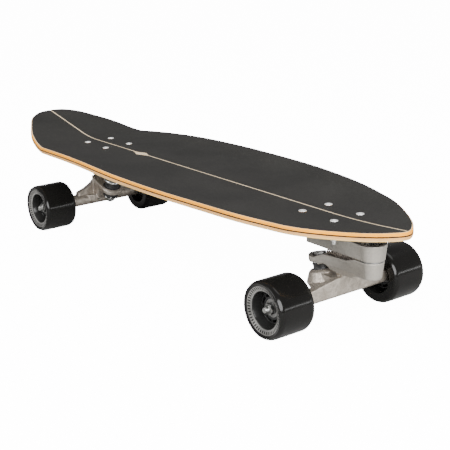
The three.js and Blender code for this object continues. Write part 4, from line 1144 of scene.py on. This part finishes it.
def makeSpring():
    tree, ids = coilTree()
    piece = newObject("armSpring", [(0, 0, 0)], [], springWire, 0)
    wire = coil["wire"] / 2
    start = truckPlace["front"] @ (Vector((coil["start"] + wire, 0, -coil["drop"])) * mm)
    grown(piece, tree, ids, Curls=float(coil["curls"]), Radius=(coil["radius"] - wire) * mm,
          Length=(coil["end"] - coil["start"] - coil["wire"]) * mm, Wire=wire * mm, Steps=coil["steps"],
          Sides=coil["sides"], Turned=(0, math.pi / 2, 0), Place=tuple(start), Finish=springWire)
    finishMesh(piece, creases["spring"])
    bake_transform(piece)
    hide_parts("arm_spring")


makeSpring()
print("swing pivot and spring made")

# Castings: the solids' own forms with softened edges
softenShare = 0.5
castings = {
    "front_base": {"name": "frontBaseCasting", "body": "board", "slot": "cast_alloy", "material": castPlate,
                   "voxel": 0.6, "soften": 6},
    "front_arm": {"name": "frontArmCasting", "body": "swing_arm", "slot": "cast_alloy", "material": castSatin,
                  "voxel": 0.6, "soften": 6},
    "front_hanger": {"name": "frontHangerCasting", "body": "front_truck", "slot": "sand_cast_alloy",
                     "material": castSand, "voxel": 0.7, "soften": 7},
    "rear_baseplate": {"name": "rearBaseCasting", "body": "board", "slot": "cast_alloy",
                       "material": castSatin, "voxel": 0.7, "soften": 6},
    "rear_hanger": {"name": "rearHangerCasting", "body": "rear_truck", "slot": "sand_cast_alloy",
                    "material": castSand, "voxel": 0.7, "soften": 7},
}


def makeCasting(nodeName):
    v = castings[nodeName]
    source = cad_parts[nodeName].data
    points = [tuple(p.co) for p in source.vertices]
    piece = newObject(v["name"], points, [tuple(f.vertices) for f in source.polygons], v["material"], 0)
    merge = bmesh.new()
    merge.from_mesh(piece.data)
    bmesh.ops.remove_doubles(merge, verts=merge.verts, dist=castWeld * mm)
    bmesh.ops.recalc_face_normals(merge, faces=merge.faces)
    merge.to_mesh(piece.data)
    merge.free()
    blocks = piece.modifiers.new("blocks", "REMESH")
    blocks.mode = "VOXEL"
    blocks.voxel_size = v["voxel"] * mm
    soft = piece.modifiers.new("soft", "SMOOTH")
    soft.iterations = v["soften"]
    soft.factor = softenShare
    applyModifiers(piece)
    smoothMesh(piece.data, 0)
    if not piece.data.materials:
        piece.data.materials.append(v["material"])
    print(v["name"], len(piece.data.polygons), "faces")
    dress(piece, v["body"], [nodeName])


for castName in castings:
    makeCasting(castName)
print("castings made")

# Axles and wheels
axle = {"diameter": 8, "length": 222, "washer": 1, "nutFlats": 12.7, "nutHeight": 6.5, "hanger": 150,
        "height": 80.3, "frontX": 10.5, "rearX": 31, "pitch": 1.1, "threadDepth": 0.4, "threadLength": 14,
        "tip": (1, 0.4, 0.8), "steps": 32, "nutSteps": 48,
        "collar": {"tip": 0.8, "side": 0.86, "round": 0.5, "height": 1.6, "mouth": 0.6, "rim": 0.3, "foot": 0.5}}
tyre = {"radius": 35, "width": 51, "outset": 1.4, "lipRadius": 32.6, "shoulder": 4.6, "faceRadius": 30,
        "faceDrop": 1.2, "coneRadius": 22, "coneDrop": 4.5, "printDepth": 16, "steps": 128,
        "seatRound": 0.3, "backRound": 1, "lipRound": 1.6, "shoulderRound": 2.6, "faceRound": 0.6, "roundSteps": 6}
core = {"radius": 18.5, "width": 24, "pocketRadius": 17, "pocketDepth": 5.5, "wall": 2.3, "ribs": 8,
        "ribWidth": 2.2, "ribClear": 0.5, "ribRoot": 1, "ribSink": 0.3, "round": 0.35, "steps": 72}
bearing = {"outer": 22, "width": 7, "shieldDrop": 0.6, "rimWall": 1.8, "innerWall": 2, "boreClear": 0.2,
           "shieldRise": 0.7, "innerGap": 0.5, "outerGap": (0.7, 0.4), "steps": 72,
           "boreRound": 0.3, "round": 0.2, "shieldRound": 0.1, "faceRound": 0.5, "backRound": 0.4}


def ribTree():
    tree, ids, given, out = geometryTree("coreRibs", [
        ("Count", "NodeSocketInt", 8), ("Reach", "NodeSocketFloat", 0.015), ("Size", "NodeSocketVector", None),
        ("Low", "NodeSocketFloat", 0.0), ("High", "NodeSocketFloat", 0.02), ("Finish", "NodeSocketMaterial", None),
    ])
    box = node(tree, "GeometryNodeMeshCube", {}, {"Size": given["Size"]})
    circle = node(tree, "GeometryNodeMeshCircle", {}, {"Vertices": given["Count"], "Radius": given["Reach"]})
    spots = copiesAt(tree, circle.outputs[0], [{"Z": given[level]} for level in ("Low", "High")])
    spot = tree.nodes.new("GeometryNodeInputPosition")
    flat = node(tree, "ShaderNodeVectorMath", {1: (1, 1, 0)}, {0: spot.outputs[0]}, operation="MULTIPLY")
    aim = node(tree, "FunctionNodeAlignRotationToVector", {}, {"Vector": flat.outputs[0]}, axis="X", pivot_axis="Z")
    spread = node(tree, "GeometryNodeInstanceOnPoints", {},
                  {"Points": spots, "Instance": box.outputs[0], "Rotation": aim.outputs[0]})
    real = node(tree, "GeometryNodeRealizeInstances", {}, {0: spread.outputs[0]})
    both = tree.nodes.new("GeometryNodeJoinGeometry")
    tree.links.new(given["Geometry"], both.inputs[0])
    tree.links.new(real.outputs[0], both.inputs[0])
    paintedOut(tree, both.outputs[0], given["Finish"], out)
    return tree, ids


def makeTyre(name, at, body, nodeName):
    v = tyre
    low = axle["washer"] + core["width"] / 2 + v["outset"] - v["width"] / 2
    high, inner = low + v["width"], core["radius"] + slack
    near, far = axle["washer"], axle["washer"] + core["width"]
    corners = [
        (inner, near, v["seatRound"]), (v["coneRadius"], low + v["faceDrop"], v["backRound"]),
        (v["lipRadius"], low, v["lipRound"]), (v["radius"], low + v["shoulder"], v["shoulderRound"]),
        (v["radius"], high - v["shoulder"], v["shoulderRound"]), (v["lipRadius"], high, v["lipRound"]),
        (v["faceRadius"], high - v["faceDrop"], v["faceRound"]),
        (v["coneRadius"], high - v["coneDrop"], v["faceRound"]), (inner, far, v["seatRound"]),
    ]
    profile = rounded(corners, v["roundSteps"])
    form = Form().add(*ringForm(profile, v["steps"]), at)
    piece = newObject(name, form.points, form.faces, wheelUrethane, creases["wheel"])
    wrapRound(piece, at, high)
    dress(piece, body, [nodeName])


# A map round the wheel: turns along U, and the radius in millimetres along V on the outer face only.
def wrapRound(piece, at, high):
    mesh = piece.data
    wrap = mesh.uv_layers.new(name="wrap")
    back = at.inverted()
    for face in mesh.polygons:
        local = [back @ mesh.vertices[i].co / mm for i in face.vertices]
        middle = sum(local, Vector()) / len(local)
        outer = middle.z > high - tyre["printDepth"]
        turns = [math.atan2(p.y, p.x) / (2 * math.pi) % 1 for p in local]
        if max(turns) - min(turns) > 0.5:
            turns = [t + 1 if t < 0.5 else t for t in turns]
        for loop, p, t in zip(face.loop_indices, local, turns):
            wrap.data[loop].uv = (t, math.hypot(p.x, p.y) if outer else 0)


def makeCore(name, at, body, nodeName):
    v = core
    low, high = axle["washer"], axle["washer"] + v["width"]
    seat = bearing["outer"] / 2 + slack
    hub, pocket, rim, deep = seat + v["wall"], v["pocketRadius"], v["radius"], v["pocketDepth"]
    corners = [(seat, low), (hub, low), (hub, low + deep), (pocket, low + deep), (pocket, low), (rim, low),
               (rim, high), (pocket, high), (pocket, high - deep), (hub, high - deep), (hub, high), (seat, high)]
    form = Form().add(*ringForm(rounded(corners, fineSteps, v["round"]), v["steps"]))
    piece = newObject(name, form.points, form.faces, coreNylon, creases["wheel"])
    tree, ids = ribTree()
    size = ((pocket - hub + v["ribRoot"]) * mm, v["ribWidth"] * mm, (deep - v["ribClear"]) * mm)
    grown(piece, tree, ids, Count=v["ribs"], Reach=(pocket + hub) / 2 * mm, Size=size,
          Low=(low + deep / 2 + v["ribSink"]) * mm, High=(high - deep / 2 - v["ribSink"]) * mm, Finish=coreNylon)
    piece.data.transform(at)
    dress(piece, body, [nodeName])


def makeBearings(name, at, body, nodeName):
    v = bearing
    low, high = axle["washer"], axle["washer"] + core["width"]
    bore, outer = axle["diameter"] / 2 + v["boreClear"], v["outer"] / 2
    innerEdge, outerEdge, drop, wide = bore + v["innerWall"], outer - v["rimWall"], v["shieldDrop"], v["width"]
    shield, (shieldEdge, groove) = drop * v["shieldRise"], v["outerGap"]
    soft, fine, back = v["round"], v["shieldRound"], v["backRound"]
    half = [
        (innerEdge, 0, soft), (innerEdge, drop, fine), (innerEdge + v["innerGap"], shield, fine),
        (outerEdge - shieldEdge, shield, soft), (outerEdge - groove, drop, fine), (outerEdge, drop, fine),
        (outerEdge, 0, soft), (outer, 0, v["faceRound"]),
    ]
    corners = [(bore, low, v["boreRound"])] + [(r, low + z, s) for r, z, s in half]
    corners += [(outer, low + wide, back), (innerEdge, low + wide, soft), (innerEdge, high - wide, soft),
                (outer, high - wide, back)]
    corners += [(r, high - z, s) for r, z, s in reversed(half)] + [(bore, high, v["boreRound"])]
    Form().add(*ringForm(rounded(corners, fineSteps), v["steps"]), at).piece(
        name, shieldSteel, body, "bright_steel", [nodeName], creases["wheel"])


def makeAxleNut(name, at, body, nodeName):
    low = axle["washer"] + core["width"] + slack
    high, bore, face = low + axle["nutHeight"], axle["diameter"] / 2 + slack, axle["nutFlats"] / 2
    c = axle["collar"]
    rings = [(bore, low + c["rim"]), (bore + c["rim"], low)]
    rings += hexRings(axle["nutFlats"], low, high - c["height"], bore)[1:-1]
    rings += collarRings(face, high, -1, c)[::-1] + [(bore + c["mouth"], high), (bore, high - c["foot"])]
    Form().add(*ringForm(rings, axle["nutSteps"]), at).piece(name, zincSteel, body, "steel", [nodeName])


def makeAxle(name, at, body, nodeName):
    half, radius = axle["length"] / 2, axle["diameter"] / 2
    inwards, edge, up = axle["tip"]
    end = threadRings(half - axle["threadLength"], half - 1, radius, axle["pitch"], axle["threadDepth"])
    end += [(radius - edge, half - up), (radius - inwards, half), (0, half)]
    rings = [(r, -z) for r, z in reversed(end)] + end
    Form().add(*ringForm(rings, axle["steps"], closed=False), at).piece(
        name, zincSteel, body, "steel", [nodeName])


def makeWheels():
    for truck, axleX, leftSide in (("front", axle["frontX"], 1), ("rear", axle["rearX"], -1)):
        middle = truckPlace[truck] @ place(axleX, 0, -axle["height"])
        makeAxle(truck + "Axle", middle @ turn(-90, "X"), truck + "_truck", truck + "_axle")
        for label, side in (("left", leftSide), ("right", -leftSide)):
            hub = middle @ place(0, side * axle["hanger"] / 2) @ turn(0 if side > 0 else 180, "Z") @ turn(-90, "X")
            stem, name = f"{truck}_{label}", truck + label.capitalize()
            body = stem + "_wheel"
            makeTyre(name + "Tyre", hub, body, stem + "_tyre")
            makeCore(name + "Core", hub, body, stem + "_core")
            makeBearings(name + "Bearings", hub, body, stem + "_bearings")
            makeAxleNut(name + "AxleNut", hub, truck + "_truck", stem + "_axle_nut")


makeWheels()
print("wheels made")

# Floor, world and lights
studio = {
    "floor": (0.5, 0.5, 0.49), "floorGlow": 14.0, "world": (1.0, 1.0, 1.0), "worldPower": 0.34, "floorSize": 60,
    "floorRough": 0.9, "floorDrop": 0.2, "aim": (0.1, 0, 0.08),
    "lights": [
        ("key", (2.6, -0.7, 1.3), 1.9, 1.9, 188), ("fill", (0.0, -2.3, 2.0), 2.6, 2.6, 125),
        ("top", (0.6, 1.2, 2.6), 1.6, 1.6, 20), ("strip", (2.3, 1.6, 0.32), 1.8, 0.1, 9),
    ],
}


def makeStudio():
    half = studio["floorSize"] / 2
    floor = newObject("floor", [(-half, -half, 0), (half, -half, 0), (half, half, 0), (-half, half, 0)],
                      [(0, 1, 2, 3)], None, 0)
    paper = bpy.data.materials.new("studioPaper")
    paper.use_nodes = True
    shader = paper.node_tree.nodes["Principled BSDF"]
    shader.inputs["Base Color"].default_value = (*studio["floor"], 1)
    shader.inputs["Roughness"].default_value = studio["floorRough"]
    # The paper glows, and the world is bright, only where the camera sees them, so that both come out white.
    shader.inputs["Emission Color"].default_value = (1, 1, 1, 1)
    seen = node(paper.node_tree, "ShaderNodeLightPath").outputs["Is Camera Ray"]
    paper.node_tree.links.new(span(paper.node_tree, seen, 0, studio["floorGlow"]), shader.inputs["Emission Strength"])
    floor.data.materials.append(paper)
    floor.location.z = -studio["floorDrop"] * mm
    world = bpy.data.worlds.new("studio")
    world.use_nodes = True
    back = world.node_tree.nodes["Background"]
    back.inputs["Color"].default_value = (*studio["world"], 1)
    shown = node(world.node_tree, "ShaderNodeLightPath").outputs["Is Camera Ray"]
    power = span(world.node_tree, shown, studio["worldPower"], studio["floorGlow"])
    world.node_tree.links.new(power, back.inputs["Strength"])
    bpy.context.scene.world = world
    for name, at, size, high, power in studio["lights"]:
        lamp = bpy.data.lights.new(name, "AREA")
        lamp.shape = "ELLIPSE" if size == high else "RECTANGLE"
        lamp.size, lamp.size_y = size, high
        lamp.energy = power
        held = bpy.data.objects.new(name, lamp)
        held.location = at
        held.rotation_euler = (Vector(studio["aim"]) - Vector(at)).to_track_quat("-Z", "Y").to_euler()
        bpy.context.scene.collection.objects.link(held)


makeStudio()
print("studio lit")


def corners(bounds):
    return [list(map(float, corner)) for corner in bounds]
